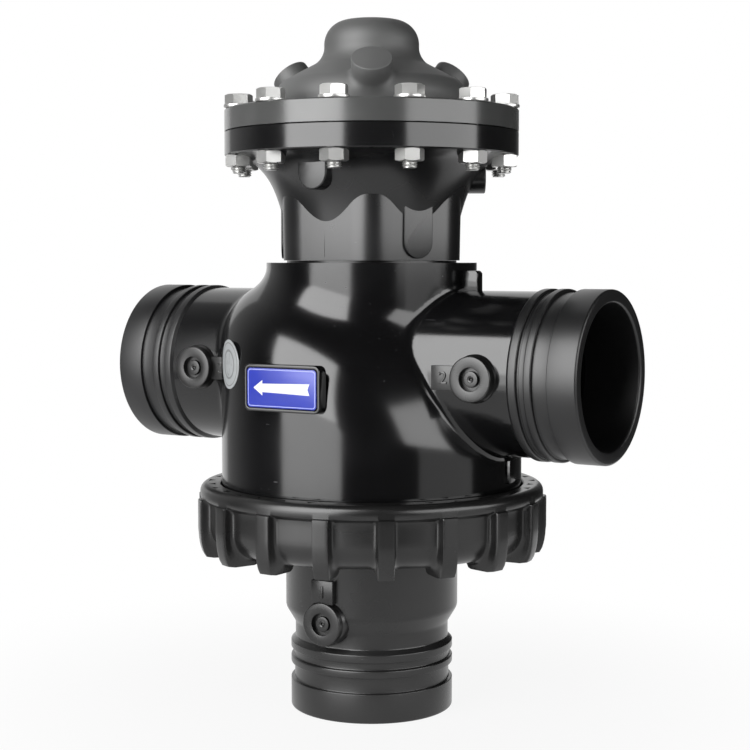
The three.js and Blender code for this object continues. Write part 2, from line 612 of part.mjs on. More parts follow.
function actuatorBase() {
  const flareR = BOLT_CIRCLE / 2 - BOLT_HEAD_FLATS / 2 - FLARE_GAP;
  const flangeR = FLANGE_DIA / 2;
  const outer = solid(revolve([
    [0, SPIGOT_BOTTOM], [SPIGOT_R, SPIGOT_BOTTOM], [SPIGOT_R, BASE_BOTTOM], ...bellOutline(),
    ...FLARE.map(([inside, below]) => [flareR - inside, LOWER_FLANGE_Z - below]),
    [flareR, LOWER_FLANGE_Z], [flangeR, LOWER_FLANGE_Z], [flangeR, SPLIT_Z], [0, SPLIT_Z],
  ]));
  const hexOutline = roundedPolygon(polygon(6, HEX_FLATS, Math.PI / 6), HEX_CORNER_RADIUS);
  const hex = solid(prism(hexOutline, BASE_BOTTOM, BASE_BOTTOM + HEX_HEIGHT));
  const upper = [0, 120, 240].map((turn) =>
    tongue(UPPER_TONGUE_LENGTH, UPPER_TONGUE_REACH, UPPER_TONGUE_DEPTH, LOWER_FLANGE_Z, turn));
  const tongueTop = BASE_BOTTOM + 1 + LOWER_TONGUE_LENGTH;
  const lower = [60, 180, 300].map((turn) =>
    tongue(LOWER_TONGUE_LENGTH, LOWER_TONGUE_REACH, LOWER_TONGUE_DEPTH, tongueTop, turn));
  const cavity = solid(revolve([
    [0, FLOOR_Z], [bellRadius(FLOOR_Z) - BASE_WALL, FLOOR_Z],
    ...bellOutline().filter(([, z]) => z > FLOOR_Z).map(([r, z]) => [r - BASE_WALL, z]),
    ...CHAMBER_EASE.map(([inside, above]) => [CHAMBER_FOOT_R - inside, LOWER_FLANGE_Z + above]),
    [CHAMBER_FOOT_R, SPLIT_Z + 1], [0, SPLIT_Z + 1],
  ]));
  const guide = solid(disc(GUIDE_DIA, FLOOR_Z - 1, GUIDE_TOP, MEDIUM));
  const hollow = solid(
    ring(2 * (SPIGOT_R - SPIGOT_WALL), GUIDE_DIA, SPIGOT_BOTTOM - 1, FLOOR_Z - BASE_FLOOR));
  const bushBore = solid(disc(BUSH_DIA + 2 * CLEAR, stemSealBottom(), GUIDE_TOP + 1, MEDIUM));
  const stemHole = solid(disc(STEM_DIA + 4 * RUNNING, SPIGOT_BOTTOM - 1, GUIDE_TOP, MEDIUM));
  const sealFloor = 2 * (SPIGOT_R - NECK_SEAL_SECTION);
  const halfGroove = NECK_SEAL_SECTION / 2 + CLEAR;
  const sealGroove = solid(
    ring(NECK_BORE + 2, sealFloor, neckSealZ() - halfGroove, neckSealZ() + halfGroove));
  const drill = towardsFront(disc(VENT_DIA, ...VENT_SPAN, SMALL));
  const vent = solid(turned(drill.translate(0, 0, LOWER_FLANGE_Z - VENT_DROP), VENT_TURN));
  const shell = cut(join(outer, hex, ...upper, ...lower), cavity);
  return cut(join(shell, guide), hollow, bushBore, stemHole, sealGroove, vent,
    ...boltHoles(LOWER_FLANGE_Z - 1, SPLIT_Z + 1));
}

const stemSealBottom = () => GUIDE_TOP - BUSH_LENGTH - STEM_SEAL_SECTION - CLEAR;
const neckSealZ = () => SPIGOT_BOTTOM + (BASE_BOTTOM - SPIGOT_BOTTOM) / 2;

// Outline of the bonnet above its flange, moved in by the given wall.
function bonnetOutline(wall) {
  const domeR = DOME_DIA / 2 - wall;
  const top = BONNET_TOP - wall;
  const coneTop = [CONE_TOP_DIA / 2 - wall / 2, UPPER_FLANGE_Z + CONE_TOP_HEIGHT - wall];
  const shoulder = [CONE_FOOT_DIA / 2 - wall, UPPER_FLANGE_Z + CONE_FOOT_HEIGHT - wall];
  const foot = [shoulder[0], UPPER_FLANGE_Z - wall];
  const [axis, crown, domeFoot] = [[0, top], [domeR, top], [domeR, coneTop[1] + DOME_FILLET]];
  return [
    axis, ...roundCorner(axis, crown, domeFoot, DOME_CORNER_RADIUS - wall / 2, 3), domeFoot, coneTop,
    ...roundCorner(coneTop, shoulder, foot, CONE_CORNER_RADIUS, 3),
  ];
}

function bonnetBossTurns() {
  return [30, 150, 270];
}

// A cylinder along a boss's axis, from its end face downwards.
function bonnetBossShape(diameter, length, turn, above = 0) {
  const lean = THREE.MathUtils.degToRad(90 - BONNET_BOSS_PITCH);
  const shape = disc(diameter, -length, above, MEDIUM).rotateX(lean);
  const z = UPPER_FLANGE_Z + BONNET_BOSS_TOP;
  return solid(turned(shape.translate(0, -BONNET_BOSS_RADIUS, z), turn));
}

function bonnet() {
  const flangeR = FLANGE_DIA / 2;
  const cover = solid(revolve([
    ...bonnetOutline(0), [CONE_FOOT_DIA / 2, UPPER_FLANGE_Z],
    [flangeR - 0.5, UPPER_FLANGE_Z], [flangeR, UPPER_FLANGE_Z - 0.5], [flangeR, SPLIT_Z], [0, SPLIT_Z],
  ]));
  const cavity = solid(revolve([
    ...bonnetOutline(BONNET_WALL), [CONE_FOOT_DIA / 2 - BONNET_WALL, UPPER_FLANGE_Z],
    [CHAMBER_FOOT_R, UPPER_FLANGE_Z - BONNET_WALL], [CHAMBER_FOOT_R, SPLIT_Z - 1], [0, SPLIT_Z - 1],
  ]));
  const bosses = bonnetBossTurns().map((turn) =>
    bonnetBossShape(BONNET_BOSS_DIA, BONNET_BOSS_LENGTH, turn));
  const clamp = solid(disc(2 * (DIAPHRAGM_R + CLEAR), SPLIT_Z - 1, SPLIT_Z + CLAMP_HEIGHT));
  const control = bonnetBossShape(CONTROL_PORT_DIA, BONNET_BOSS_LENGTH + 12, CONTROL_PORT_TURN, 1);
  return cut(join(cover, ...bosses), cavity, clamp, control,
    ...boltHoles(SPLIT_Z - 1, UPPER_FLANGE_Z + 2));
}

// ---------------------------------------------------------------- trim

function diaphragm() {
  const holeR = STEM_THREAD_DIA / 2 + CLEAR;
  const plateR = PLATE_DIA / 2;
  const rollR = CHAMBER_FOOT_R - 1;
  const steps = 6;
  const roll = Array.from({ length: steps + 1 }, (_, i) => {
    const share = i / steps;
    const drop = (1 - Math.cos(Math.PI * share)) / 2;
    return [plateR + (rollR - plateR) * share, MIDDLE_Z + (CLAMP_Z - MIDDLE_Z) * drop];
  });
  const middle = [[holeR, MIDDLE_Z], ...roll, [DIAPHRAGM_R, CLAMP_Z]];
  const half = DIAPHRAGM_THICKNESS / 2;
  const under = middle.map(([r, z]) => [r, z - half]);
  const over = middle.map(([r, z]) => [r, z + half]).reverse();
  return solid(revolve([...under, ...over]));
}

function stem() {
  const [threadR, r] = [STEM_THREAD_DIA / 2, STEM_DIA / 2];
  return solid(revolve([
    [0, STEM_BOTTOM], [threadR, STEM_BOTTOM], [threadR, PLUG_STACK_TOP], [r, PLUG_STACK_TOP],
    [r, LOWER_PLATE_BOTTOM], [threadR, LOWER_PLATE_BOTTOM], [threadR, STEM_TOP], [0, STEM_TOP],
  ], MEDIUM));
}

function hexNut(flats, threadDia, bottom, top, sides = SMALL) {
  const hole = disc(threadDia + 2 * NUT_THREAD_CLEARANCE, bottom - 1, top + 1, sides);
  return cut(solid(prism(polygon(6, flats), bottom, top)), solid(hole));
}

const threadedRing = (outer, bottom, top) =>
  solid(ring(outer, STEM_THREAD_DIA + 2 * CLEAR, bottom, top, SMOOTH));

class Helix extends THREE.Curve {
  constructor(diameter, bottom, top, coils) {
    super();
    Object.assign(this, { diameter, bottom, top, coils });
  }
  getPoint(t, target = new THREE.Vector3()) {
    const angle = 2 * Math.PI * this.coils * t;
    const r = this.diameter / 2;
    return target.set(r * Math.cos(angle), r * Math.sin(angle), this.bottom + (this.top - this.bottom) * t);
  }
}

function returnSpring() {
  const wire = new THREE.Shape(polygon(6, SPRING_WIRE).map(([x, y]) => new THREE.Vector2(x, y)));
  const margin = SPRING_WIRE / 2 + CLEAR + 0.2;
  const path = new Helix(SPRING_DIA, FLOOR_Z + margin, LOWER_PLATE_BOTTOM - margin, SPRING_COILS);
  const options = { extrudePath: path, steps: 12 * SPRING_COILS, bevelEnabled: false };
  return solid(new THREE.ExtrudeGeometry(wire, options));
}

function arrowPlate() {
  const outline = roundedPolygon(
    rectangle(PAD_WIDTH - 2 * PLATE_MARGIN, PAD_HEIGHT - 2 * PLATE_MARGIN), PLATE_CORNER_RADIUS, 3);
  const plate = solid(prism(outline, -PLATE_THICKNESS, 0));
  return placeFront(plate, PAD_OFFSET, BODY_R + PAD_PROUD, BODY_BOTTOM + PAD_HEIGHT_ABOVE_END);
}

function roundSticker() {
  const z = BODY_BOTTOM + STICKER_HEIGHT;
  const inner = BODY_R + 0.05;
  const skin = solid(ring(2 * (inner + STICKER_THICKNESS), 2 * inner, z - STICKER_DIA, z + STICKER_DIA));
  const punch = towardsFront(disc(STICKER_DIA, BODY_R / 2, BODY_DIA, 24)).translate(0, 0, z);
  return skin.intersect(solid(turned(punch, STICKER_TURN)));
}

// ---------------------------------------------------------------- assembly

const valve = new THREE.Group();

function addPiece(parent, name, made, material) {
  const { vertProperties, triVerts } = made.getMesh();
  const geometry = new THREE.BufferGeometry()
    .setAttribute("position", new THREE.BufferAttribute(vertProperties, 3))
    .setIndex(new THREE.BufferAttribute(triVerts, 1));
  geometry.computeVertexNormals();
  const piece = new THREE.Mesh(geometry, material);
  piece.name = name;
  parent.add(piece);
  return piece;
}

const lowerAssembly = new THREE.Group();
const body = bodyNodes();
addPiece(lowerAssembly, "valve_body", body.shell, glossBlack);
addPiece(lowerAssembly, "inner_tube", body.tube, glossBlack);
addPiece(lowerAssembly, "port_2_end", body.port2End, glossBlack);
addPiece(lowerAssembly, "port_3_end", body.port3End, glossBlack);
addPiece(lowerAssembly, "port_1_tailpiece", tailpiece(), glossBlack);
addPiece(lowerAssembly, "union_nut", unionNut(), glossBlack);
const tailSealZ = BODY_BOTTOM - TAIL_SEAL_SECTION / 2 - CLEAR / 2;
addPiece(lowerAssembly, "tailpiece_seal",
  solid(sealRing(2 * tailSealR(), TAIL_SEAL_SECTION, tailSealZ, SMOOTH)), rubber);
addPiece(lowerAssembly, "arrow_plate", arrowPlate(), plateBlue);
addPiece(lowerAssembly, "round_sticker", roundSticker(), silverFoil);

const actuator = new THREE.Group();
addPiece(actuator, "actuator_base", actuatorBase(), glossBlack);
addPiece(actuator, "bonnet", bonnet(), mattGrey);
addPiece(actuator, "diaphragm", diaphragm(), rubber);
const runningBore = STEM_DIA + 2 * RUNNING;
const bushBottom = GUIDE_TOP - BUSH_LENGTH;
const stemSealZ = bushBottom - STEM_SEAL_SECTION / 2 - CLEAR / 2;
addPiece(actuator, "guide_bush",
  solid(ring(BUSH_DIA, runningBore, bushBottom, GUIDE_TOP, MEDIUM)), acetal);
addPiece(actuator, "stem_seal",
  solid(sealRing(runningBore + STEM_SEAL_SECTION, STEM_SEAL_SECTION, stemSealZ)), rubber);
addPiece(actuator, "neck_seal",
  solid(sealRing(2 * SPIGOT_R - NECK_SEAL_SECTION, NECK_SEAL_SECTION - CLEAR, neckSealZ(), SMOOTH)), rubber);
addPiece(actuator, "return_spring", returnSpring(), springSteel);

const trim = new THREE.Group();
addPiece(trim, "stem", stem(), stainless);
addPiece(trim, "lower_diaphragm_plate",
  threadedRing(PLATE_DIA, LOWER_PLATE_BOTTOM, LOWER_PLATE_TOP), zincPlate);
addPiece(trim, "upper_diaphragm_plate",
  threadedRing(PLATE_DIA, UPPER_PLATE_BOTTOM, UPPER_PLATE_TOP), zincPlate);
addPiece(trim, "stem_top_nut", hexNut(STEM_NUT_FLATS, STEM_THREAD_DIA, UPPER_PLATE_TOP,
  UPPER_PLATE_TOP + STEM_NUT_HEIGHT, MEDIUM), stainless);
addPiece(trim, "upper_seat_seal",
  threadedRing(PLUG_DIA, PLUG_STACK_TOP - SEAL_DISC_THICKNESS, PLUG_STACK_TOP), rubber);
addPiece(trim, "plug", threadedRing(PLUG_DIA, PLUG_STACK_BOTTOM + SEAL_DISC_THICKNESS,
  PLUG_STACK_TOP - SEAL_DISC_THICKNESS), glossBlack);
addPiece(trim, "lower_seat_seal",
  threadedRing(PLUG_DIA, PLUG_STACK_BOTTOM, PLUG_STACK_BOTTOM + SEAL_DISC_THICKNESS), rubber);
addPiece(trim, "stem_bottom_nut", hexNut(STEM_NUT_FLATS, STEM_THREAD_DIA,
  PLUG_STACK_BOTTOM - STEM_NUT_HEIGHT, PLUG_STACK_BOTTOM, MEDIUM), stainless);

// One M8 bolt with its washer under the head and its nut under the lower flange.
const headBottom = UPPER_FLANGE_Z + WASHER_THICKNESS;
const nutBottom = LOWER_FLANGE_Z - BOLT_NUT_HEIGHT;
const bolt = join(
  solid(prism(polygon(6, BOLT_HEAD_FLATS), headBottom, headBottom + BOLT_HEAD_HEIGHT)),
  solid(disc(BOLT_DIA, nutBottom - BOLT_END, headBottom + 1, SMALL)),
);
const washer = solid(ring(WASHER_DIA, BOLT_HOLE_DIA, headBottom - WASHER_THICKNESS, headBottom, SMALL));
const boltNut = hexNut(BOLT_HEAD_FLATS, BOLT_DIA, nutBottom, LOWER_FLANGE_Z);

const fasteners = new THREE.Group();
actuator.rotation.z = THREE.MathUtils.degToRad(ACTUATOR_TURN);
fasteners.rotation.z = actuator.rotation.z;
boltTurns().forEach((turn, i) => {
  const number = String(i + 1).padStart(2, "0");
  const station = new THREE.Group();
  const [x, y] = around(BOLT_CIRCLE / 2, turn);
  station.position.set(x, y, 0);
  addPiece(station, "flange_bolt_" + number, bolt, stainless);
  addPiece(station, "flange_washer_" + number, washer, stainless);
  addPiece(station, "flange_nut_" + number, boltNut, stainless);
  fasteners.add(station);
});

valve.add(lowerAssembly, actuator, trim, fasteners);
export default valve;
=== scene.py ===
"""A three-port diaphragm valve with grooved pipe ends.

It is built as moulded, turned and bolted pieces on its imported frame.
"""

import math

import bmesh
import bpy
import numpy as np
from bpy.props import FloatProperty, FloatVectorProperty, PointerProperty
from mathutils import Matrix, Vector


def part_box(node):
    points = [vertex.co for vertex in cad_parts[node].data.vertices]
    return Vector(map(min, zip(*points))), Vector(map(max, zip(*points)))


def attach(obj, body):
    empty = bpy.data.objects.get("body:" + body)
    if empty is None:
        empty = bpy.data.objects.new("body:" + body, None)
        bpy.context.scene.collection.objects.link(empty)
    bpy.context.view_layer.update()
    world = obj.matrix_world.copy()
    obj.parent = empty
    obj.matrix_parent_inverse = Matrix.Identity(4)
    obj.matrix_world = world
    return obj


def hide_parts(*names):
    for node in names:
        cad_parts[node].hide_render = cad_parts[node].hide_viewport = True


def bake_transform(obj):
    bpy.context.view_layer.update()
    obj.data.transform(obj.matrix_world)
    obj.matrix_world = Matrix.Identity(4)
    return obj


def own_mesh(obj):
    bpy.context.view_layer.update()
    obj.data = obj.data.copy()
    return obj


bl_info = {
    "name": "Diaphragm Valve",
    "version": (1, 0, 0),
    "blender": (4, 5, 0),
    "location": "View3D > Sidebar > Valve",
    "description": "Builds a three-port diaphragm valve piece by piece on its frame",
    "category": "Object",
}

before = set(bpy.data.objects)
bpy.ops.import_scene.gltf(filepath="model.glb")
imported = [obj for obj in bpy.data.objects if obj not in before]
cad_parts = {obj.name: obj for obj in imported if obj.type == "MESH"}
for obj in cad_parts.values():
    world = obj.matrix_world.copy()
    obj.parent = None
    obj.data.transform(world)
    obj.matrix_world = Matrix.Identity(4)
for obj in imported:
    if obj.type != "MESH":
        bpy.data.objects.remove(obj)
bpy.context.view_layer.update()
MM = 0.001
HOUSING, TRIM, NUT = "housing", "stem_assembly", "union_nut"


# ---------------------------------------------------------------- places from the frame, in millimetres


def box_mm(node):
    low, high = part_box(node)
    return np.array(low) / MM, np.array(high) / MM


def middle_mm(node):
    low, high = box_mm(node)
    return (low + high) / 2


BODY_LOW, BODY_HIGH = box_mm("valve_body")
NUT_HIGH = box_mm("union_nut")[1]
BASE_LOW, BASE_HIGH = box_mm("actuator_base")
BONNET_HIGH = box_mm("bonnet")[1]
PLATE_LOW, PLATE_HIGH = box_mm("arrow_plate")
HEAD_LOW, HEAD_HIGH = box_mm("flange_bolt_01")
RUN_END = box_mm("port_2_end")[1][0]
BODY_FOOT = BODY_LOW[2]
NECK_TOP = BODY_HIGH[2]
SPLIT = BASE_HIGH[2]
CROWN = BONNET_HIGH[2]
FLANGE_R = BONNET_HIGH[0]
SPIGOT_FOOT = BASE_LOW[2]
BOLT_PROUD = 3.5  # what a bolt shows below its nut
NUT_TALL = 6.5
FLANGE_FOOT = HEAD_LOW[2] + BOLT_PROUD + NUT_TALL
BELL_FOOT = NECK_TOP + 1.2
COVER_TOP = SPLIT + 11.7  # the top of the bonnet's flange
CUT_X = 110  # where the side barrels end inside their collars
SPARE_X = 116  # how far they are cast before that cut
TAIL_BARREL_R = 47.2


# ---------------------------------------------------------------- sizes and colours a user may change


def size(name, description, millimetres):
    return FloatProperty(
        name=name, description=description, default=millimetres * MM, min=0, unit="LENGTH", precision=5)


def colour(name, description, rgb):
    return FloatVectorProperty(
        name=name, description=description, default=rgb, min=0, max=1, size=3, subtype="COLOR")


class ValveSizes(bpy.types.PropertyGroup):
    """Sizes of the moulded and turned pieces."""

    pipe_od: size("Pipe outside", "Outside diameter of the grooved ends", 88.9)
    pipe_bore: size("Pipe bore", "Bore of the three ports", 75)
    run_height: size("Run height", "Height of the axis of ports 2 and 3", 185.8)
    barrel: size("Barrel", "Outside diameter of the side barrels", 86)
    body: size("Body", "Outside diameter of the body", 163.8)
    neck: size("Neck", "Outside diameter of the neck", 114.4)
    crease: size("Crease", "Height of the shoulder's crease at the front", 220.2)
    shoulder_radius: size("Shoulder radius", "Round of the shoulder's outer corner", 23)
    neck_fillet: size("Neck fillet", "Fillet between the shoulder and the neck", 9)
    barrel_fillet: size("Barrel fillet", "Fillet where a side barrel leaves the body", 3)
    skirt_flats: size("Skirt flats", "Width across the flats of the hexagonal skirt", 94.6)
    skirt_corner: size("Skirt corner", "Corner radius of the hexagonal skirt", 22)
    dome: size("Dome", "Diameter of the dome on the bonnet", 51.2)
    boss: size("Bonnet boss", "Diameter of the three angled bosses", 21.2)
    bolt: size("Bolt", "Diameter of the flange bolts", 8)
    bolt_flats: size("Bolt flats", "Width across the flats of bolt heads and nuts", 13)
    gauge_boss: size("Gauge boss", "Diameter of the gauge bosses", 23)
    casting_step: size("Casting step", "Mesh step of the moulded pieces", 1.25)


class ValveFinishes(bpy.types.PropertyGroup):
    """Colours of the valve's finishes."""

    body_black: colour("Body", "Glossy black nylon of the body", (0.0040, 0.0040, 0.0043))
    base_black: colour("Actuator base", "Satin black nylon of the actuator base", (0.0085, 0.0085, 0.0089))
    satin_black: colour("Satin black", "Satin black nylon of the nut and tailpiece", (0.0095, 0.0094, 0.0094))
    bonnet_grey: colour("Bonnet", "Matt dark grey nylon of the bonnet", (0.080, 0.081, 0.080))
    bolt_steel: colour("Bolts", "Bright stainless steel of the fasteners", (0.55, 0.55, 0.54))
    trim_steel: colour("Trim", "Turned stainless steel of the stem", (0.62, 0.62, 0.61))
    plate_steel: colour("Plates", "Zinc-plated steel of the diaphragm plates", (0.50, 0.51, 0.53))
    spring_steel: colour("Spring", "Oiled spring steel", (0.26, 0.26, 0.27))
    rubber: colour("Rubber", "Black rubber of the diaphragm and seals", (0.014, 0.014, 0.015))
    bush: colour("Bush", "Natural acetal of the guide bush", (0.74, 0.71, 0.63))
    arrow_blue: colour("Arrow plate", "Blue print of the arrow plate", (0.016, 0.036, 0.43))
    print_white: colour("Print", "White print of the arrow", (0.84, 0.85, 0.88))
    sticker: colour("Sticker", "Silver foil of the round sticker", (0.52, 0.54, 0.55))


def sizes():
    return bpy.context.scene.valve_sizes


def mm(name):
    """A size of the panel in millimetres."""
    return getattr(sizes(), name) / MM


# ---------------------------------------------------------------- shader maths


class Value:
    """A number socket of a material, so that shader maths reads as an expression."""

    def __init__(self, finish, socket):
        self.finish, self.socket = finish, socket

    def math(self, operation, *others):
        return Value(self.finish, self.finish.node("ShaderNodeMath", {"operation": operation}, {
            i: x for i, x in enumerate((self, *others))}).outputs[0])

    def __add__(self, other):
        return self.math("ADD", other)

    def __mul__(self, other):
        return self.math("MULTIPLY", other)

    def __sub__(self, other):
        return self.math("SUBTRACT", other)

    def __rsub__(self, other):
        return (self * -1.0) + other

    __radd__, __rmul__ = __add__, __mul__

    def between(self, start, end):
        """0 below start, 1 above end and smooth in between."""
        made = self.finish.node("ShaderNodeMapRange", {"interpolation_type": "SMOOTHSTEP"}, {
            "Value": self, "From Min": start, "From Max": end, "To Min": 0.0, "To Max": 1.0})
        return Value(self.finish, made.outputs["Result"])


class Finish:
    """A material with one Principled shader."""

    def __init__(self, name, **plain):
        self.material = bpy.data.materials.new(name)
        self.material.use_nodes = True
        self.tree = self.material.node_tree
        self.shader = self.tree.nodes["Principled BSDF"]
        self.place = self.node("ShaderNodeTexCoord", {}, {}).outputs["Object"]
        for socket, value in plain.items():
            self.feed(socket.replace("_", " "), value)

    def node(self, kind, settings, inputs):
        made = self.tree.nodes.new(kind)
        for key, value in settings.items():
            setattr(made, key, value)
        for key, value in inputs.items():
            self.link(made.inputs[key], value)
        return made

    def link(self, socket, value):
        source = value.socket if isinstance(value, Value) else value
        if isinstance(source, bpy.types.NodeSocket):
            self.tree.links.new(source, socket)
        else:
            socket.default_value = source

    def feed(self, name, value):
        socket = self.shader.inputs[name]
        if isinstance(value, (tuple, list)) and len(value) == 3:
            value = (*value, 1.0)
        self.link(socket, value)

    def stretched(self, factors, turn=(0, 0, 0)):
        return self.node("ShaderNodeMapping", {}, {
            "Vector": self.place, "Scale": factors, "Rotation": turn}).outputs[0]

    def noise(self, scale, detail=2.0, vector=None, roughness=0.5):
        made = self.node("ShaderNodeTexNoise", {}, {
            "Vector": vector or self.place, "Scale": scale, "Detail": detail, "Roughness": roughness})
        return Value(self, made.outputs["Fac"])

    def mixed(self, mask, first, second):
        """A colour between first and second."""
        wide = [(*c, 1.0) if isinstance(c, (tuple, list)) and len(c) == 3 else c for c in (first, second)]
        made = self.node("ShaderNodeMix", {"data_type": "RGBA"}, {})
        self.link(made.inputs["Factor"], mask)
        self.link(made.inputs[6], wide[0])
        self.link(made.inputs[7], wide[1])
        return made.outputs[2]

    def bump(self, height, strength, distance):
        made = self.node("ShaderNodeBump", {}, {"Height": height, "Strength": strength, "Distance": distance})
        self.feed("Normal", made.outputs[0])


def lighter(rgb, factor):
    return tuple(min(1.0, c * factor) for c in rgb)


def tinted(name):
    return tuple(getattr(bpy.context.scene.valve_finishes, name))


def moulded(name, rgb, gloss, haze, scratches, grain, below=None):
    """Moulded nylon with haze and a few hairline scratches.

    below gives a height in millimetres and the roughness under it.
    """
    f = Finish(name, Specular_IOR_Level=0.5)
    if below:
        height, other = below
        z = Value(f, f.node("ShaderNodeSeparateXYZ", {}, {"Vector": f.place}).outputs["Z"])
        gloss = z.between((height - 0.5) * MM, (height + 0.5) * MM) * (gloss - other) + other
    cloud = f.noise(14.0, 3.0).between(0.42, 0.72)
    lines = None
    for turn, where in ((0.5, 31.0), (-0.9, 23.0), (2.3, 27.0)):
        streak = f.noise(70.0, 1.0, f.stretched((0.3, 16.0, 16.0), (0.4 * turn, turn, 1.3 * turn)))
        line = streak.between(0.76, 0.78) * f.noise(where, 1.0).between(0.62, 0.70)
        lines = line if lines is None else lines + line
    marks = lines * scratches
    pale = f.mixed(cloud * haze, rgb, lighter(rgb, 1.8))
    f.feed("Base Color", f.mixed(marks * 0.5, pale, (0.16, 0.16, 0.165)))
    f.feed("Roughness", cloud * (0.07 * haze) + marks * 0.2 + gloss)
    skin = f.noise(30.0, 2.0) * 0.5 + f.noise(260.0, 2.0) * 0.12 + f.noise(1800.0, 2.0) * grain
    f.bump(skin - marks * 0.5, 0.12, 0.00015)
    return f.material


def metal(name, rgb, roughness, wear=0.5, metallic=1.0):
    """Bright metal with fine machining haze and small dents."""
    f = Finish(name, Metallic=metallic)
    cloud = f.noise(180.0, 3.0).between(0.35, 0.75)
    fine = f.noise(900.0, 2.0, f.stretched((1.0, 1.0, 5.0)))
    f.feed("Base Color", f.mixed(cloud * wear, rgb, lighter(rgb, 0.72)))
    f.feed("Roughness", cloud * 0.05 + fine * 0.04 + roughness)
    f.bump(f.noise(420.0, 2.0) + fine * 0.3, 0.012, 0.0001)
    return f.material


def rubbery(name, rgb):
    f = Finish(name, Specular_IOR_Level=0.35)
    bloom = f.noise(45.0, 3.0).between(0.4, 0.75)
    f.feed("Base Color", f.mixed(bloom * 0.5, rgb, lighter(rgb, 2.4)))
    f.feed("Roughness", bloom * 0.12 + 0.7)
    f.bump(f.noise(1400.0, 2.0), 0.25, 0.0001)
    return f.material


def waxy(name, rgb):
    f = Finish(name, Specular_IOR_Level=0.4)
    cloud = f.noise(70.0, 3.0).between(0.3, 0.8)
    f.feed("Base Color", f.mixed(cloud * 0.4, rgb, lighter(rgb, 0.85)))
    f.feed("Roughness", cloud * 0.1 + 0.38)
    f.bump(f.noise(700.0, 2.0), 0.1, 0.0001)
    return f.material


def printed(name, rgb, under, chips):
    """A printed plate whose ink is worn through in small chips."""
    f = Finish(name, Specular_IOR_Level=0.5)
    cloud = f.noise(110.0, 3.0).between(0.3, 0.8)
    chip = f.noise(420.0, 3.0).between(0.70, 0.74) * f.noise(60.0, 2.0).between(0.60, 0.70)
    f.feed("Base Color", f.mixed(chip * chips, f.mixed(cloud * 0.35, rgb, lighter(rgb, 0.8)), under))
    f.feed("Roughness", cloud * 0.12 + chip * 0.2 + 0.30)
    f.bump(f.noise(500.0, 2.0) - chip * 0.5, 0.1, 0.0001)
    return f.material


def foil(name, rgb, centre, turn):
    """Silver foil with plain printed rings about its centre."""
    f = Finish(name, Metallic=0.35, Specular_IOR_Level=0.5)
    level = f.node("ShaderNodeVectorMath", {"operation": "SUBTRACT"}, {0: f.place, 1: centre}).outputs[0]
    faced = f.node("ShaderNodeVectorRotate", {"rotation_type": "Z_AXIS"}, {
        "Vector": level, "Center": (0, 0, 0), "Angle": turn}).outputs[0]
    across = f.node("ShaderNodeVectorMath", {"operation": "MULTIPLY"}, {
        0: faced, 1: (1000.0, 0.0, 1000.0)}).outputs[0]
    away = Value(f, f.node("ShaderNodeVectorMath", {"operation": "LENGTH"}, {0: across}).outputs["Value"])
    rings = None
    for radius in (11.3, 7.6, 7.0):
        line = 1.0 - (away - radius).math("ABSOLUTE").between(0.16, 0.34)
        rings = line if rings is None else rings + line
    inside = 1.0 - away.between(5.6, 6.4)
    hatch = f.noise(900.0, 1.0, f.stretched((1.0, 1.0, 0.25))).between(0.52, 0.6) * inside
    f.feed("Base Color", f.mixed(rings * 0.75 + hatch * 0.45, rgb, lighter(rgb, 0.28)))
    f.feed("Roughness", f.noise(240.0, 2.0) * 0.12 + 0.34)
    f.bump(f.noise(300.0, 2.0), 0.1, 0.0001)
    return f.material


FINISH_MAKERS = {
    "body_gloss": lambda: moulded("body_gloss", tinted("body_black"), 0.13, 0.8, 1.0, 0.04),
    "base_gloss": lambda: moulded(
        "base_gloss", tinted("base_black"), 0.13, 0.8, 1.0, 0.10, (FLANGE_FOOT + 0.4, 0.27)),
    "collar": lambda: moulded("collar", lighter(tinted("body_black"), 1.4), 0.36, 0.9, 0.8, 0.15),
    "satin": lambda: moulded("satin", tinted("satin_black"), 0.27, 1.0, 0.6, 0.30),
    "bonnet": lambda: moulded("bonnet", tinted("bonnet_grey"), 0.55, 0.8, 0.25, 0.5, (SPLIT + 11.9, 0.18)),
    "bolts": lambda: metal("bolts", tinted("bolt_steel"), 0.30, 0.15, 0.86),
    "trim": lambda: metal("trim", tinted("trim_steel"), 0.22),
    "plates": lambda: metal("plates", tinted("plate_steel"), 0.34, 0.8),
    "spring": lambda: metal("spring", tinted("spring_steel"), 0.3, 0.8),
    "rubber": lambda: rubbery("rubber", tinted("rubber")),
    "bush": lambda: waxy("bush", tinted("bush")),
    "blue": lambda: printed("blue", tinted("arrow_blue"), (0.30, 0.34, 0.62), 0.5),
    "border": lambda: printed("border", (0.30, 0.34, 0.78), tinted("arrow_blue"), 1.0),
    "white": lambda: printed("white", tinted("print_white"), (0.10, 0.14, 0.50), 1.0),
}
made_finishes = {}


def finish_of(name):
    if name not in made_finishes:
        made_finishes[name] = FINISH_MAKERS[name]()
    return made_finishes[name]


# ---------------------------------------------------------------- shaping


def rounded(points, segments=4):
    """A chain of (a, b) or (a, b, radius) points, with an arc for each corner that has a radius."""
    chain = []
    for i, point in enumerate(points):
        radius = point[2] if len(point) > 2 else 0
        here = Vector(point[:2])
        if not radius:
            chain.append(tuple(here))
            continue
        before = (Vector(points[i - 1][:2]) - here).normalized()
        after = (Vector(points[(i + 1) % len(points)][:2]) - here).normalized()
        half = before.angle(after) / 2
        centre = here + (before + after).normalized() * (radius / math.sin(half))
        start = here + before * (radius / math.tan(half)) - centre
        sweep = start.angle_signed(here + after * (radius / math.tan(half)) - centre)
        for k in range(segments + 1):
            arm = start.copy()
            arm.rotate(Matrix.Rotation(-sweep * k / segments, 2))
            chain.append(tuple(centre + arm))
    return chain


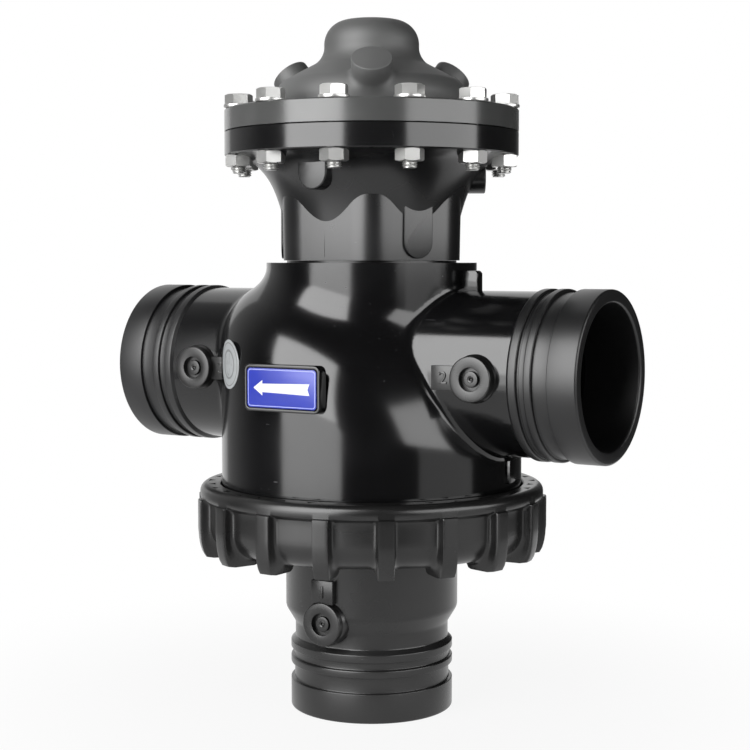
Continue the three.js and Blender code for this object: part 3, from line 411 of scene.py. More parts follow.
def spun(profile, steps=96, closed=True):
    """A turned shape about Z from a profile of (radius, height) points."""
    bm = bmesh.new()
    verts = [bm.verts.new((r, 0, z)) for r, z in profile]
    pairs = list(zip(verts, verts[1:]))
    if closed:
        pairs.append((verts[-1], verts[0]))
    edges = [bm.edges.new(pair) for pair in pairs if (pair[0].co.xy.length + pair[1].co.xy.length) > 1e-9]
    bmesh.ops.spin(bm, geom=verts + edges, cent=(0, 0, 0), axis=(0, 0, 1), angle=math.tau, steps=steps,
                   use_merge=True)
    bmesh.ops.remove_doubles(bm, verts=bm.verts, dist=1e-4)
    bmesh.ops.dissolve_degenerate(bm, edges=bm.edges, dist=1e-5)
    bmesh.ops.recalc_face_normals(bm, faces=bm.faces)
    return bm


def rod(diameter, low, high, steps=64):
    bm = bmesh.new()
    place = Matrix.Translation((0, 0, (low + high) / 2))
    bmesh.ops.create_cone(bm, cap_ends=True, segments=steps, radius1=diameter / 2, radius2=diameter / 2,
                          depth=high - low, matrix=place)
    return bm


def verts_of(made):
    """The vertices that an operator made."""
    return [v for v in made["geom"] if isinstance(v, bmesh.types.BMVert)]


def slab(outline, depth):
    """A flat plate: the outline stands on z = 0 and the plate goes down by depth."""
    bm = bmesh.new()
    face = bm.faces.new([bm.verts.new((x, y, 0)) for x, y in outline])
    if face.normal.z < 0:
        face.normal_flip()
    grown = bmesh.ops.extrude_face_region(bm, geom=[face])
    bmesh.ops.translate(bm, vec=(0, 0, -depth), verts=verts_of(grown))
    bmesh.ops.recalc_face_normals(bm, faces=bm.faces)
    return bm


def bevelled(bm, edges, width, segments):
    bmesh.ops.bevel(bm, geom=edges, offset=width, offset_type="OFFSET", affect="EDGES", segments=segments,
                    profile=0.5, material=-1)
    return bm


def soften(bm, width, segments=2, angle=30):
    """Bevels every edge that turns by more than an angle in degrees."""
    sharp = [e for e in bm.edges if len(e.link_faces) == 2 and e.calc_face_angle(0) > math.radians(angle)]
    bmesh.ops.bevel(bm, geom=sharp, offset=width, offset_type="OFFSET", affect="EDGES", segments=segments,
                    profile=0.5, material=-1, clamp_overlap=True)
    return bm


def moved(bm, matrix):
    bmesh.ops.transform(bm, matrix=matrix, verts=bm.verts)
    return bm


def merged(*shapes):
    """One bmesh with all the shapes in it."""
    whole = shapes[0]
    for shape in shapes[1:]:
        mesh = bpy.data.meshes.new("merge")
        shape.to_mesh(mesh)
        shape.free()
        whole.from_mesh(mesh)
        bpy.data.meshes.remove(mesh)
    return whole


def turn_z(degrees):
    return Matrix.Rotation(math.radians(degrees), 4, "Z")


def on_run():
    """The middle of the line through ports 2 and 3."""
    return Matrix.Translation((0, 0, mm("run_height")))


TO_PORT_2 = Matrix.Rotation(math.radians(90), 4, "Y")
TO_PORT_3 = Matrix.Rotation(math.radians(-90), 4, "Y")
TO_FRONT = Matrix.Rotation(math.radians(90), 4, "X")


def scratch(bm):
    """A working object, still in millimetres."""
    mesh = bpy.data.meshes.new("working")
    bm.to_mesh(mesh)
    bm.free()
    obj = bpy.data.objects.new("working", mesh)
    bpy.context.scene.collection.objects.link(obj)
    return obj


def settle(obj):
    """Applies the object's modifiers to its mesh."""
    evaluated = obj.evaluated_get(bpy.context.evaluated_depsgraph_get())
    old = obj.data
    mesh = bpy.data.meshes.new_from_object(evaluated)
    obj.modifiers.clear()
    obj.data = mesh
    bpy.data.meshes.remove(old)
    return obj


def drop(obj):
    mesh = obj.data
    bpy.data.objects.remove(obj)
    bpy.data.meshes.remove(mesh)


def carved(obj, tool_bm, operation="DIFFERENCE"):
    tool = scratch(tool_bm)
    step = obj.modifiers.new("carve", "BOOLEAN")
    step.operation, step.solver, step.object = operation, "EXACT", tool
    settle(obj)
    drop(tool)
    return obj


def to_bmesh(obj):
    bm = bmesh.new()
    bm.from_mesh(obj.data)
    drop(obj)
    return bm


def solid_curve(curve):
    """The shape of a text or a curve, with its doubles merged."""
    holder = bpy.data.objects.new(curve.name, curve)
    bpy.context.scene.collection.objects.link(holder)
    mesh = bpy.data.meshes.new_from_object(holder.evaluated_get(bpy.context.evaluated_depsgraph_get()))
    bpy.data.objects.remove(holder)
    bm = bmesh.new()
    bm.from_mesh(mesh)
    bpy.data.meshes.remove(mesh)
    bmesh.ops.remove_doubles(bm, verts=bm.verts, dist=1e-4)
    return bm


def piece(name, bm, body, finish, nodes, angle=32.0):
    """The finished piece, in metres, on its body."""
    bmesh.ops.remove_doubles(bm, verts=bm.verts, dist=2e-4)
    bmesh.ops.scale(bm, vec=(MM, MM, MM), verts=bm.verts)
    mesh = bpy.data.meshes.new(name)
    bm.to_mesh(mesh)
    bm.free()
    mesh.polygons.foreach_set("use_smooth", [True] * len(mesh.polygons))
    mesh.set_sharp_from_angle(angle=math.radians(angle))
    mesh.materials.clear()
    mesh.materials.append(finish_of(finish) if isinstance(finish, str) else finish)
    obj = bpy.data.objects.new(name, mesh)
    bpy.context.scene.collection.objects.link(obj)
    if body:
        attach(obj, body)
    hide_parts(*nodes)
    return obj


def black(name, bm, finish, *nodes):
    """A black moulding on the housing."""
    return piece(name, bm, HOUSING, finish, nodes)


# ---------------------------------------------------------------- moulded shapes


def length(*parts):
    return np.sqrt(sum(part * part for part in parts))


def joined(a, b, radius):
    """Two distances as one shape, with a fillet of that radius between them."""
    u, v = np.maximum(radius - a, 0), np.maximum(radius - b, 0)
    return np.maximum(radius, np.minimum(a, b)) - np.sqrt(u * u + v * v)


def common(a, b, radius):
    """What two distances have in common, with its edge rounded to that radius."""
    return -joined(-a, -b, radius)


def slope_of(field, points):
    step = 0.02
    shifts = np.eye(3) * step
    return np.stack([(field(points + s) - field(points - s)) / (2 * step) for s in shifts], 1)


def settled(field, points, rounds):
    """The points moved onto the surface where the field is 0, with the slope there."""
    for _ in range(rounds):
        slope = slope_of(field, points)
        steep = np.maximum((slope * slope).sum(1), 0.2)
        points = points - np.clip(field(points) / steep, -2.5, 2.5)[:, None] * slope
    return points, slope


def cast(seed, field, step):
    """A moulded shape: the seed is remeshed evenly, then its points are settled onto the field's surface."""
    obj = scratch(seed)
    for voxel, rounds, relaxes in ((2.6 * step, 4, 4), (step, 3, 5)):
        remesh = obj.modifiers.new("even", "REMESH")
        remesh.mode, remesh.voxel_size = "VOXEL", voxel
        settle(obj)
        mesh = obj.data
        points = np.zeros(len(mesh.vertices) * 3)
        mesh.vertices.foreach_get("co", points)
        points = points.reshape(-1, 3)
        ends = np.zeros(len(mesh.edges) * 2, int)
        mesh.edges.foreach_get("vertices", ends)
        a, b = ends.reshape(-1, 2).T
        degree = np.maximum(np.bincount(a, minlength=len(points)) + np.bincount(b, minlength=len(points)), 1)
        points, slope = settled(field, points, rounds)
        for _ in range(relaxes):
            mean = np.stack([
                np.bincount(a, points[b, k], len(points)) + np.bincount(b, points[a, k], len(points))
                for k in range(3)], 1) / degree[:, None]
            drift = mean - points
            normal = slope / np.maximum(np.linalg.norm(slope, axis=1), 1e-6)[:, None]
            drift -= (drift * normal).sum(1)[:, None] * normal
            points, slope = settled(field, points + 0.6 * drift, 1)
        points, slope = settled(field, points, 2)
        mesh.vertices.foreach_set("co", points.ravel())
        mesh.update()
    return obj


def trimmed(obj, *planes):
    """Cuts the shape off beyond each (point, direction) plane and closes the cut."""
    bm = to_bmesh(obj)
    for point, direction in planes:
        geom = bm.verts[:] + bm.edges[:] + bm.faces[:]
        cut = bmesh.ops.bisect_plane(bm, geom=geom, plane_co=point, plane_no=direction, clear_outer=True,
                                     dist=1e-5)
        edges = [e for e in cut["geom_cut"] if isinstance(e, bmesh.types.BMEdge) and e.is_boundary]
        bmesh.ops.contextual_create(bm, geom=edges)
    bmesh.ops.recalc_face_normals(bm, faces=bm.faces)
    return scratch(bm)


def polar(radius, degrees, height=0.0):
    """A point at an angle counted from the front towards port 2."""
    angle = math.radians(degrees)
    return Vector((radius * math.sin(angle), -radius * math.cos(angle), height))


# ---------------------------------------------------------------- valve body


def body_field(p):
    x, y, z = p.T
    r = length(x, y)
    lean = x / np.maximum(r, 1.0)
    crease = mm("crease") - 18.5 * lean - 5.5 * np.minimum(lean, 0) ** 2
    dip = 0.79 + 0.465 * lean - 0.125 * lean * lean
    shoulder = (z - crease + dip * (r - mm("neck") / 2)) / np.sqrt(1 + dip * dip)
    shell = common(r - mm("body") / 2, shoulder, mm("shoulder_radius"))
    whole = joined(shell, r - mm("neck") / 2, mm("neck_fillet"))
    barrel = length(y, z - mm("run_height")) - mm("barrel") / 2
    whole = joined(whole, barrel, mm("barrel_fillet"))
    ends = np.maximum(np.abs(x) - SPARE_X, np.maximum(z - NECK_TOP - 8, BODY_FOOT - 8 - z))
    return np.maximum(whole, ends)


def body_casting():
    seed = merged(
        rod(2 * 80, BODY_FOOT - 8, BODY_FOOT + 86, 64),
        rod(mm("neck") - 2, BODY_FOOT - 6, NECK_TOP + 8, 64),
        moved(rod(mm("barrel") - 1, -SPARE_X, SPARE_X, 64), on_run() @ TO_PORT_2),
    )
    obj = cast(seed, body_field, mm("casting_step"))
    obj = trimmed(obj, ((0, 0, NECK_TOP), (0, 0, 1)), ((0, 0, BODY_FOOT), (0, 0, -1)),
                  ((CUT_X, 0, 0), (1, 0, 0)), ((-CUT_X, 0, 0), (-1, 0, 0)))
    run = on_run() @ TO_PORT_2
    bore = mm("pipe_bore")
    chamber = scratch(spun([(0, BODY_FOOT - 1), (75, BODY_FOOT - 1), (75, 168), (68, 178), (52, 196),
                            (52, 142), (0, 142)]))
    carved(chamber, moved(rod(mm("barrel"), 0, 120), run))
    carved(obj, to_bmesh(chamber))
    carved(obj, moved(rod(bore, -CUT_X - 1, -51.6), run))
    tube = spun([(0, 141), (36, 141), (36, 150), (44, 150), (44, 229), (46.4, 229), (46.4, NECK_TOP - 1.2),
                 (48, NECK_TOP + 1), (0, NECK_TOP + 1)])
    carved(obj, tube)
    carved(obj, moved(rod(bore, 20, CUT_X + 1), run))
    return to_bmesh(obj)


def grooved_profile(root_r):
    """Outside of a grooved end as (radius, distance from its face), from the face inwards."""
    pipe = mm("pipe_od") / 2
    return [
        (pipe, 0, 1.3), (pipe, 15.9, 0.4), (pipe - 1.98, 15.9, 0.4), (pipe - 1.98, 24.2, 0.4),
        (pipe, 24.2, 0.7), (pipe, 28.4, 0.7), (pipe - 1.65, 28.4, 0.5), (pipe - 1.65, 32.4, 0.5),
        (pipe, 32.4, 0.7), (pipe, 36.6, 0.7),
        (root_r, 36.6 + pipe - root_r),
    ]


def side_collar():
    """Grooved end of a side port, standing on its face at z = 0 and going up."""
    bore = mm("pipe_bore") / 2
    root = mm("barrel") / 2 + 0.02
    outside = rounded([(bore, 0, 1.4), *grooved_profile(root)])
    inside = [(root, 31.4), (bore, 31.4)]
    return spun([*outside, *inside], 160)


def gauge_boss(proud, root_depth, flare):
    """A gauge boss standing on z = 0 behind its face, with a recess round a dimpled pin."""
    r = mm("gauge_boss") / 2
    profile = rounded([
        (0, -2.3), (0.5, -2.1), (0.85, -1.15), (1.5, -0.95), (1.8, -1.15), (4.0, -1.15, 0.35), (4.1, -2.9),
        (5.8, -2.9), (5.9, 0, 0.3), (r, 0, 0.7), (r + 0.1, -proud + flare, 0.4), (r + flare, -proud - 0.4),
        (r + flare, -root_depth), (0, -root_depth),
    ], 3)
    return spun(profile, 72)


def number_tab(text, proud):
    """A square tab with a raised plain number, behind its face at z = 0."""
    tab = soften(slab([(-6.6, -6.2), (6.6, -6.2), (6.6, 6.2), (-6.6, 6.2)], proud), 0.3)
    letter = bpy.data.curves.new("number", "FONT")
    letter.body, letter.size, letter.extrude, letter.resolution_u = text, 9.0, 0.35, 6
    letter.align_x, letter.align_y = "CENTER", "CENTER"
    letter.bevel_depth, letter.bevel_resolution = 0.12, 1
    return tab, moved(solid_curve(letter), Matrix.Translation((0.3, -0.2, 0.18)))


class VALVE_OT_body(bpy.types.Operator):
    """Moulds the valve body with its bores, shoulder and side barrels"""

    bl_idname = "valve.body"
    bl_label = "Valve body"

    def seam(self, side):
        """The fine parting line along a side barrel."""
        start, end, half = 84, RUN_END - 36.7, 0.16
        line = slab([(start, -half), (end, -half), (end, half), (start, half)], 1.0)
        turn = turn_z(0 if side > 0 else 180) @ Matrix.Rotation(math.radians(8 * side), 4, "X")
        place = on_run() @ turn @ Matrix.Translation((0, -side * mm("barrel") / 2, 0))
        place = place @ Matrix.Rotation(math.radians(90 * side), 4, "X") @ Matrix.Translation((0, 0, 0.1))
        return moved(line, place)

    def execute(self, context):
        black("body_casting", body_casting(), "body_gloss", "valve_body", "inner_tube")
        for number, side, to_side in (("2", 1, TO_PORT_2), ("3", -1, TO_PORT_3)):
            place = Matrix.Translation((side * RUN_END, 0, mm("run_height"))) @ to_side
            place = place @ Matrix.Rotation(math.pi, 4, "X")
            black(f"port_{number}_collar", moved(side_collar(), place), "collar", f"port_{number}_end")
            black("mould_seam_" + number, self.seam(side), "body_gloss", "valve_body")
        lug = slab([(52, NECK_TOP - 15), (66.6, NECK_TOP - 15), (66.6, NECK_TOP - 5.4), (65.2, NECK_TOP - 4),
                    (52, NECK_TOP - 4)], 6)
        place = Matrix.Translation((0, -3, 0)) @ TO_FRONT
        black("neck_lug", moved(soften(lug, 0.6), place), "body_gloss", "valve_body")
        low, high = BODY_FOOT + 23.5, BODY_FOOT + 36
        pad = soften(slab([(-5, low), (5, low), (5, high), (-5, high)], 6), 0.5)
        place = turn_z(95) @ Matrix.Translation((0, -mm("body") / 2 - 1.8, 0)) @ TO_FRONT
        black("locking_pad", moved(pad, place), "body_gloss", "valve_body")
        return {"FINISHED"}


class VALVE_OT_bosses(bpy.types.Operator):
    """Adds the gauge bosses and the numbered tabs beside them"""

    bl_idname = "valve.bosses"
    bl_label = "Gauge bosses and numbers"

    def execute(self, context):
        barrel = mm("barrel") / 2
        run = mm("run_height")
        boss_x = RUN_END - 55.5
        tab_x = boss_x - mm("gauge_boss") / 2 - 5.5
        spots = [
            ("1", (0, -TAIL_BARREL_R - 4.3, 53.4), (0, -TAIL_BARREL_R - 3.4, 70.4), 4.3, "port_1_tailpiece"),
            ("2", (boss_x, -barrel - 5.5, run), (tab_x, -barrel - 2.0, run), 5.5, "valve_body"),
            ("3", (-boss_x, -barrel - 5.5, run), (-tab_x, -barrel - 2.0, run), 5.5, "valve_body"),
        ]
        for text, boss_at, tab_at, proud, node in spots:
            boss = moved(gauge_boss(proud, proud + 4.5, 0.8), Matrix.Translation(boss_at) @ TO_FRONT)
            black("gauge_boss_" + text, boss, "satin", node)
            tab, number = number_tab(text, 6.5)
            place = Matrix.Translation(tab_at) @ TO_FRONT
            black("number_tab_" + text, moved(tab, place), "satin", node)
            black("number_" + text, moved(number, place), "satin", node)
        return {"FINISHED"}


# ---------------------------------------------------------------- arrow plate and sticker


def rounded_rectangle(width, height, radius, segments=5):
    x, y = width / 2, height / 2
    return rounded([(-x, -y, radius), (x, -y, radius), (x, y, radius), (-x, y, radius)], segments)


def arrow_outline():
    return [(-17.0, 0.0), (-11.6, 3.9), (-11.6, 2.15), (17.0, 2.9), (15.9, 0.0), (17.0, -2.9),
            (-11.6, -2.15), (-11.6, -3.9)]


class VALVE_OT_arrow_plate(bpy.types.Operator):
    """Makes the arrow plate on its pad and the round sticker"""

    bl_idname = "valve.arrow_plate"
    bl_label = "Arrow plate and sticker"

    def execute(self, context):
        face = PLATE_LOW[1]
        middle = (PLATE_LOW + PLATE_HIGH) / 2
        place = Matrix.Translation((middle[0], face, middle[2])) @ TO_FRONT
        wide, high = PLATE_HIGH[0] - PLATE_LOW[0], PLATE_HIGH[2] - PLATE_LOW[2]
        pad = slab(rounded_rectangle(wide + 4, high + 4, 3.4), 6.4)
        top = [f for f in pad.faces if f.normal.z > 0.9]
        bmesh.ops.inset_region(pad, faces=top, thickness=1.7)
        sunk = bmesh.ops.extrude_face_region(pad, geom=top)
        bmesh.ops.translate(pad, vec=(0, 0, -0.8), verts=verts_of(sunk))
        bmesh.ops.delete(pad, geom=top, context="FACES")
        black("arrow_pad", moved(soften(pad, 0.5, 3, 50), place), "body_gloss", "valve_body")
        plate = soften(slab(rounded_rectangle(wide, high, 1.9), 0.75), 0.15)
        lift = Matrix.Translation((0, 0, -0.12))
        piece("arrow_plate_blue", moved(plate, place @ lift), HOUSING, "blue", ["arrow_plate"])
        border = slab(rounded_rectangle(wide - 1.1, high - 1.1, 1.6), 0.3)
        inner = slab(rounded_rectangle(wide - 2.0, high - 2.0, 1.2), 1.0)
        frame_line = carved(scratch(border), moved(inner, Matrix.Translation((0, 0, 0.4))))
        print_lift = Matrix.Translation((0, 0, -0.06))
        border = moved(to_bmesh(frame_line), place @ print_lift)
        piece("arrow_border", border, HOUSING, "border", ["arrow_plate"])
        arrow = moved(slab(arrow_outline(), 0.3), place @ print_lift)
        piece("arrow_mark", arrow, HOUSING, "white", ["arrow_plate"])
        self.sticker()
        return {"FINISHED"}

    def sticker(self):
        low, high = box_mm("round_sticker")
        height = (low[2] + high[2]) / 2
        radius = (high[2] - low[2]) / 2
        turn = -35.0
        disc = spun(rounded([(0, 0.30), (radius, 0.30, 0.12), (radius, 0), (0, 0)], 2), 64)
        long_edges = [e for e in disc.edges if e.calc_length() > 3.0]
        bmesh.ops.subdivide_edges(disc, edges=long_edges, cuts=7, use_grid_fill=True)
        skin = mm("body") / 2 + 0.03
        for v in disc.verts:
            reach = skin + v.co.z
            angle = math.asin(max(-1.0, min(1.0, v.co.x / skin)))
            v.co = Vector((reach * math.sin(angle), -reach * math.cos(angle), v.co.y + height))
        bmesh.ops.recalc_face_normals(disc, faces=disc.faces)
        centre = polar(skin, turn, height) * MM
        silver = foil("silver", tinted("sticker"), tuple(centre), math.radians(-turn))
        piece("sticker", moved(disc, turn_z(turn)), HOUSING, silver, ["round_sticker"])


# ---------------------------------------------------------------- tailpiece and union nut


class VALVE_OT_tailpiece(bpy.types.Operator):
    """Turns the tailpiece of port 1"""

    bl_idname = "valve.tailpiece"
    bl_label = "Tailpiece"

    def execute(self, context):
        bore = mm("pipe_bore") / 2
        neck, barrel = 42.0, TAIL_BARREL_R
        end = grooved_profile(neck)
        top = end[-1][1] + 8
        foot = BODY_FOOT
        profile = rounded([
            (bore, 0, 1.2), *end[:-1], (neck, end[-1][1], 1.2), (neck, top, 4), (barrel, top + 8.6, 6),
            (barrel, foot - 8, 1), (81.1, foot - 8), (81.1, foot), (74.5, foot), (74.5, foot + 4, 0.4),
            (71, foot + 4, 0.4), (71, foot), (bore + 4.5, foot), (bore + 4.5, foot + 4, 0.8),
            (bore, foot + 4, 0.8),
        ])
        shape = spun(profile, 160)
        groove = spun([(76.2, foot - 3), (79.4, foot - 3), (79.4, foot + 1), (76.2, foot + 1)], 96)
        shape = to_bmesh(carved(scratch(shape), groove))
        black("tailpiece", shape, "satin", "port_1_tailpiece")
        return {"FINISHED"}


RIB_COLUMNS = [  # (arc from the rib's middle at the top, at the foot, share of the rib's height)
    (0.0, 0.0, 1.0), (1.8, 1.8, 1.0), (3.3, 3.4, 1.0), (3.75, 3.85, 0.985), (3.98, 4.1, 0.92),
    (4.08, 4.3, 0.72), (4.18, 4.65, 0.42), (4.4, 5.3, 0.20), (4.8, 6.3, 0.08), (5.4, 7.6, 0.025),
    (6.3, 9.2, 0.0), (8.6, 10.8, 0.0), (11.6, 12.8, 0.0),
]
RIB_COUNT = 18
RIB_TURN = 35.8
NUT_WALL_R = 90.0


def nut_rows():
    """Rows round the nut's section.

    Each row is (radius, height) between ribs, the same on a rib, and how far down the rib it is.
    """
    high = NUT_HIGH[2]
    face = high - 34.5
    wall, rib, bore, lip = NUT_WALL_R, 95.6, 82.8, 50.0
    band = 93.8
    rib_start, rib_end, rib_knee = high - 23.0, face - 4 + 1.8, 0.62
    rows = [((bore, high - 0.6), None, 0), ((bore + 0.6, high), None, 0),
            ((85.4, high), None, 0), ((88.0, high), None, 0)]
    for k in range(7):
        angle = math.radians(90 * k / 6)
        rows.append(((band - 4.2 + 4.2 * math.sin(angle), high - 4.2 + 4.2 * math.cos(angle)), None, 0))
    rows.append(((band, high - 6.2), None, 0))
    rows.append(((band - 0.25, high - 7.0), (band + 0.05, high - 7.0), 0))
    rows.append(((band - 1.2, high - 7.7), (rib - 0.5, high - 7.15), 0))
    rows.append(((wall + 0.9, high - 8.4), (rib - 0.05, high - 7.5), 0))
    rows.append(((wall + 0.1, high - 9.2), (rib, high - 8.4), 0))
    for k in range(5):
        z = high - 10.5 - 11.0 * k / 4
        rows.append(((wall, z), (rib, z - 1.5 * k / 4), 0.1 * k / 4))
    steps = 9
    for k in range(1, steps + 1):
        angle = math.radians(90 * k / steps)
        base = (wall - 13 + 13 * math.cos(angle), face + 13 - 13 * math.sin(angle))
        share = k / steps
        if share < rib_knee:
            part = share / rib_knee
            on_rib = (rib - 0.2 - 2.4 * part ** 2.4, rib_start + (rib_end - rib_start) * part)
        else:
            part = (share - rib_knee) / 0.38
            on_rib = (rib - 2.6 - 16.5 * part ** 1.4, face - 4 + 1.8 * (1 - min(1.0, part * 3)) ** 2)
        rows.append((base, on_rib, 0.1 + 0.9 * share))
    rows.append(((wall - 15, face), (wall - 15.2, face - 3.4), 1.0))
    rows.append(((wall - 17, face), (wall - 17, face - 0.05), 1.0))
    rows += [((lip + 1, face), None, 1), ((lip, face + 1), None, 1), ((lip, face + 5.4), None, 1),
             ((lip + 0.8, face + 6.2), None, 1), ((bore - 0.2, face + 6.2), None, 1),
             ((bore, face + 6.4), None, 1)]
    for k in range(1, 4):
        rows.append(((bore, face + 6.4 + (high - 1.6 - face - 6.4) * k / 4), None, 1))
    return rows


def nut_shape():
    """The nut's section swept round, with a rib at each pitch."""
    pitch = 2 * math.pi / RIB_COUNT
    half_arc = pitch * NUT_WALL_R / 2
    half = [*RIB_COLUMNS, (half_arc, half_arc, 0.0)]
    columns = [*((-a, -b, w) for a, b, w in reversed(half[1:-1])), *half]
    rows = nut_rows()
    across, down = len(columns) * RIB_COUNT, len(rows)
    bm = bmesh.new()
    bmesh.ops.create_grid(bm, x_segments=across, y_segments=down, size=0.5)
    for v in bm.verts:
        i = round((v.co.x + 0.5) * across)
        j = round((v.co.y + 0.5) * down)
        (r0, z0), on_rib, flare = rows[j % down]
        r1, z1 = on_rib or (r0, z0)
        top, foot, share = columns[i % len(columns)]
        angle = (i // len(columns)) * pitch + (top + (foot - top) * flare) / NUT_WALL_R
        if on_rib is None:
            angle = (i // len(columns)) * pitch + top / NUT_WALL_R
        r, z = r0 + (r1 - r0) * share, z0 + (z1 - z0) * share
        v.co = (r * math.cos(angle), r * math.sin(angle), z)
    bmesh.ops.remove_doubles(bm, verts=bm.verts, dist=1e-4)
    bmesh.ops.recalc_face_normals(bm, faces=bm.faces)
    return moved(bm, turn_z(RIB_TURN - 90))


def nut_pockets():
    """Cutter of the triangular pockets round the nut's upper face."""
    cells = []
    for i in range(2 * RIB_COUNT):
        inner, outer, wide = 85.6, 89.4, 2.9
        base, tip = (inner, outer) if i % 2 else (outer, inner)
        points = [(base, -wide), (base, wide), (tip, 0)]
        turn = turn_z(RIB_TURN - 90 + (i + 0.5) * 180 / RIB_COUNT)
        cells.append(moved(slab(points, 8), turn @ Matrix.Translation((0, 0, NUT_HIGH[2] + 1))))
    return merged(*cells)


class VALVE_OT_union_nut(bpy.types.Operator):
    """Makes the ribbed union nut"""

    bl_idname = "valve.union_nut"
    bl_label = "Union nut"

    def execute(self, context):
        shape = to_bmesh(carved(scratch(nut_shape()), nut_pockets()))
        piece("ribbed_nut", shape, NUT, "satin", ["union_nut"], 38)
        return {"FINISHED"}


# ---------------------------------------------------------------- actuator base and bonnet

ACTUATOR_TURN = 1.5


def turned_points(p, degrees):
    angle = math.radians(degrees)
    x = p[:, 0] * math.cos(angle) + p[:, 1] * math.sin(angle)
    y = -p[:, 0] * math.sin(angle) + p[:, 1] * math.cos(angle)
    return x, y, p[:, 2]


def base_skirt():
    """The hexagonal skirt round the foot of the bell, with a flat towards the front."""
    foot, tall = BELL_FOOT, 34.5
    flats = mm("skirt_flats") / 2 - 0.2
    reach = flats / math.cos(math.pi / 6)
    turns = [k * math.pi / 3 for k in range(6)]
    corners = [(reach * math.cos(a), reach * math.sin(a), mm("skirt_corner")) for a in turns]
    bm = moved(slab(rounded(corners, 12), tall), Matrix.Translation((0, 0, foot + tall)))
    top = [v for v in bm.verts if v.co.z > foot + tall / 2]
    bmesh.ops.scale(bm, vec=((flats + 0.6) / flats, (flats + 0.6) / flats, 1), verts=top)
    rim = [e for e in bm.edges if all(v.co.z > foot + tall / 2 for v in e.verts)]
    hollow = carved(scratch(bevelled(bm, rim, 0.8, 3)), rod(88.8, foot - 1, foot + tall + 1, 96))
    return moved(to_bmesh(hollow), turn_z(ACTUATOR_TURN))


def base_field(p):
    x, y, z = turned_points(p, ACTUATOR_TURN)
    r = length(x, y)
    share = np.clip((z - BELL_FOOT) / 46.5, 0, 1.2)
    bell = (r - (44.5 + 11.1 * share ** 1.6 + 2.5 * share ** 8)) * 0.93
    flange = np.maximum(FLANGE_FOOT - z, r - 86)
    whole = joined(bell, flange, 4.5)
    return np.maximum(whole, np.maximum(BELL_FOOT - 6 - z, z - SPLIT - 6))


def tongue(degrees, reach, low, high, edge):
    """An upright tongue with a half-round lower end, its face at that reach and angle."""
    half = 8.5
    turns = [k * math.pi / 20 for k in range(21)]
    arc = [(half * math.cos(a), low + half - half * math.sin(a)) for a in turns]
    bm = slab([*arc, (-half, high), (half, high)], reach - 38)
    rim = [e for e in bm.edges if all(abs(v.co.z) < 1e-6 for v in e.verts)]
    place = turn_z(degrees + ACTUATOR_TURN) @ Matrix.Translation((0, -reach, 0)) @ TO_FRONT
    return moved(bevelled(bm, rim, edge, 3), place)


def base_casting():
    seed = merged(
        rod(92, BELL_FOOT - 6, FLANGE_FOOT + 4, 64),
        rod(110, FLANGE_FOOT - 14, FLANGE_FOOT + 4, 64),
        rod(172, FLANGE_FOOT, SPLIT + 6, 96),
    )
    obj = cast(seed, base_field, 0.85 * mm("casting_step"))
    obj = trimmed(obj, ((0, 0, BELL_FOOT), (0, 0, -1)), ((0, 0, SPLIT - 0.15), (0, 0, 1)))
    rim = spun([(0, 236), (68, 236), (68, FLANGE_FOOT - 10.9), (FLANGE_R, FLANGE_FOOT + 0.6),
                (FLANGE_R, SPLIT - 0.75), (FLANGE_R - 5, SPLIT + 4.25), (0, SPLIT + 4.25)], 160)
    carved(obj, rim, "INTERSECT")
    carved(obj, spun([(0, 258), (38.5, 258), (41, 270), (45, 282), (48.6, 291), (57, 303.5), (58, 305.5),
                      (58, 320), (0, 320)]))
    carved(obj, rod(34.4, BELL_FOOT - 4, 259))
    return to_bmesh(obj)


BOSS_OUT, BOSS_UP = 52.5, 22.2  # the middle of a boss's face: from the axis, and above the flange
BOSS_PITCH = 50  # a boss's rise, in degrees
BOSS_ANGLES = (30, 150, 270)


def bonnet_field(p):
    x, y, z = turned_points(p, ACTUATOR_TURN)
    r = length(x, y)
    dome = common(r - mm("dome") / 2, z - CROWN - 0.0006 * r * r + 0.35 * np.clip(r / 25.6, 0, 1) ** 2, 13)
    top = COVER_TOP
    cone = (z - (top + 24.3) + (r - 31) * 0.535) * 0.882
    cone = common(cone, r - 52.5, 6)
    whole = joined(joined(dome, cone, 5.5), z - top, 1.6)
    pitch = math.radians(BOSS_PITCH)
    for degrees in BOSS_ANGLES:
        angle = math.radians(degrees)
        out = x * math.sin(angle) - y * math.cos(angle)
        side = x * math.cos(angle) + y * math.sin(angle)
        along = (out - BOSS_OUT) * math.cos(pitch) + (z - top - BOSS_UP) * math.sin(pitch)
        lift = (out - BOSS_OUT) * -math.sin(pitch) + (z - top - BOSS_UP) * math.cos(pitch)
        boss = common(length(side, lift) - mm("boss") / 2, along + 1.5, 0.4)
        whole = joined(whole, np.maximum(boss, -26 - along), 2.4)
    return np.maximum(whole, np.maximum(SPLIT - 6 - z, r - 86))


def boss_places():
    """Where the end faces of the bonnet's three bosses are, with z out of the face."""
    tip = Matrix.Rotation(math.radians(90 - BOSS_PITCH), 4, "X")
    place = Matrix.Translation((0, -BOSS_OUT, COVER_TOP + BOSS_UP)) @ tip
    return [turn_z(d + ACTUATOR_TURN) @ place for d in BOSS_ANGLES]


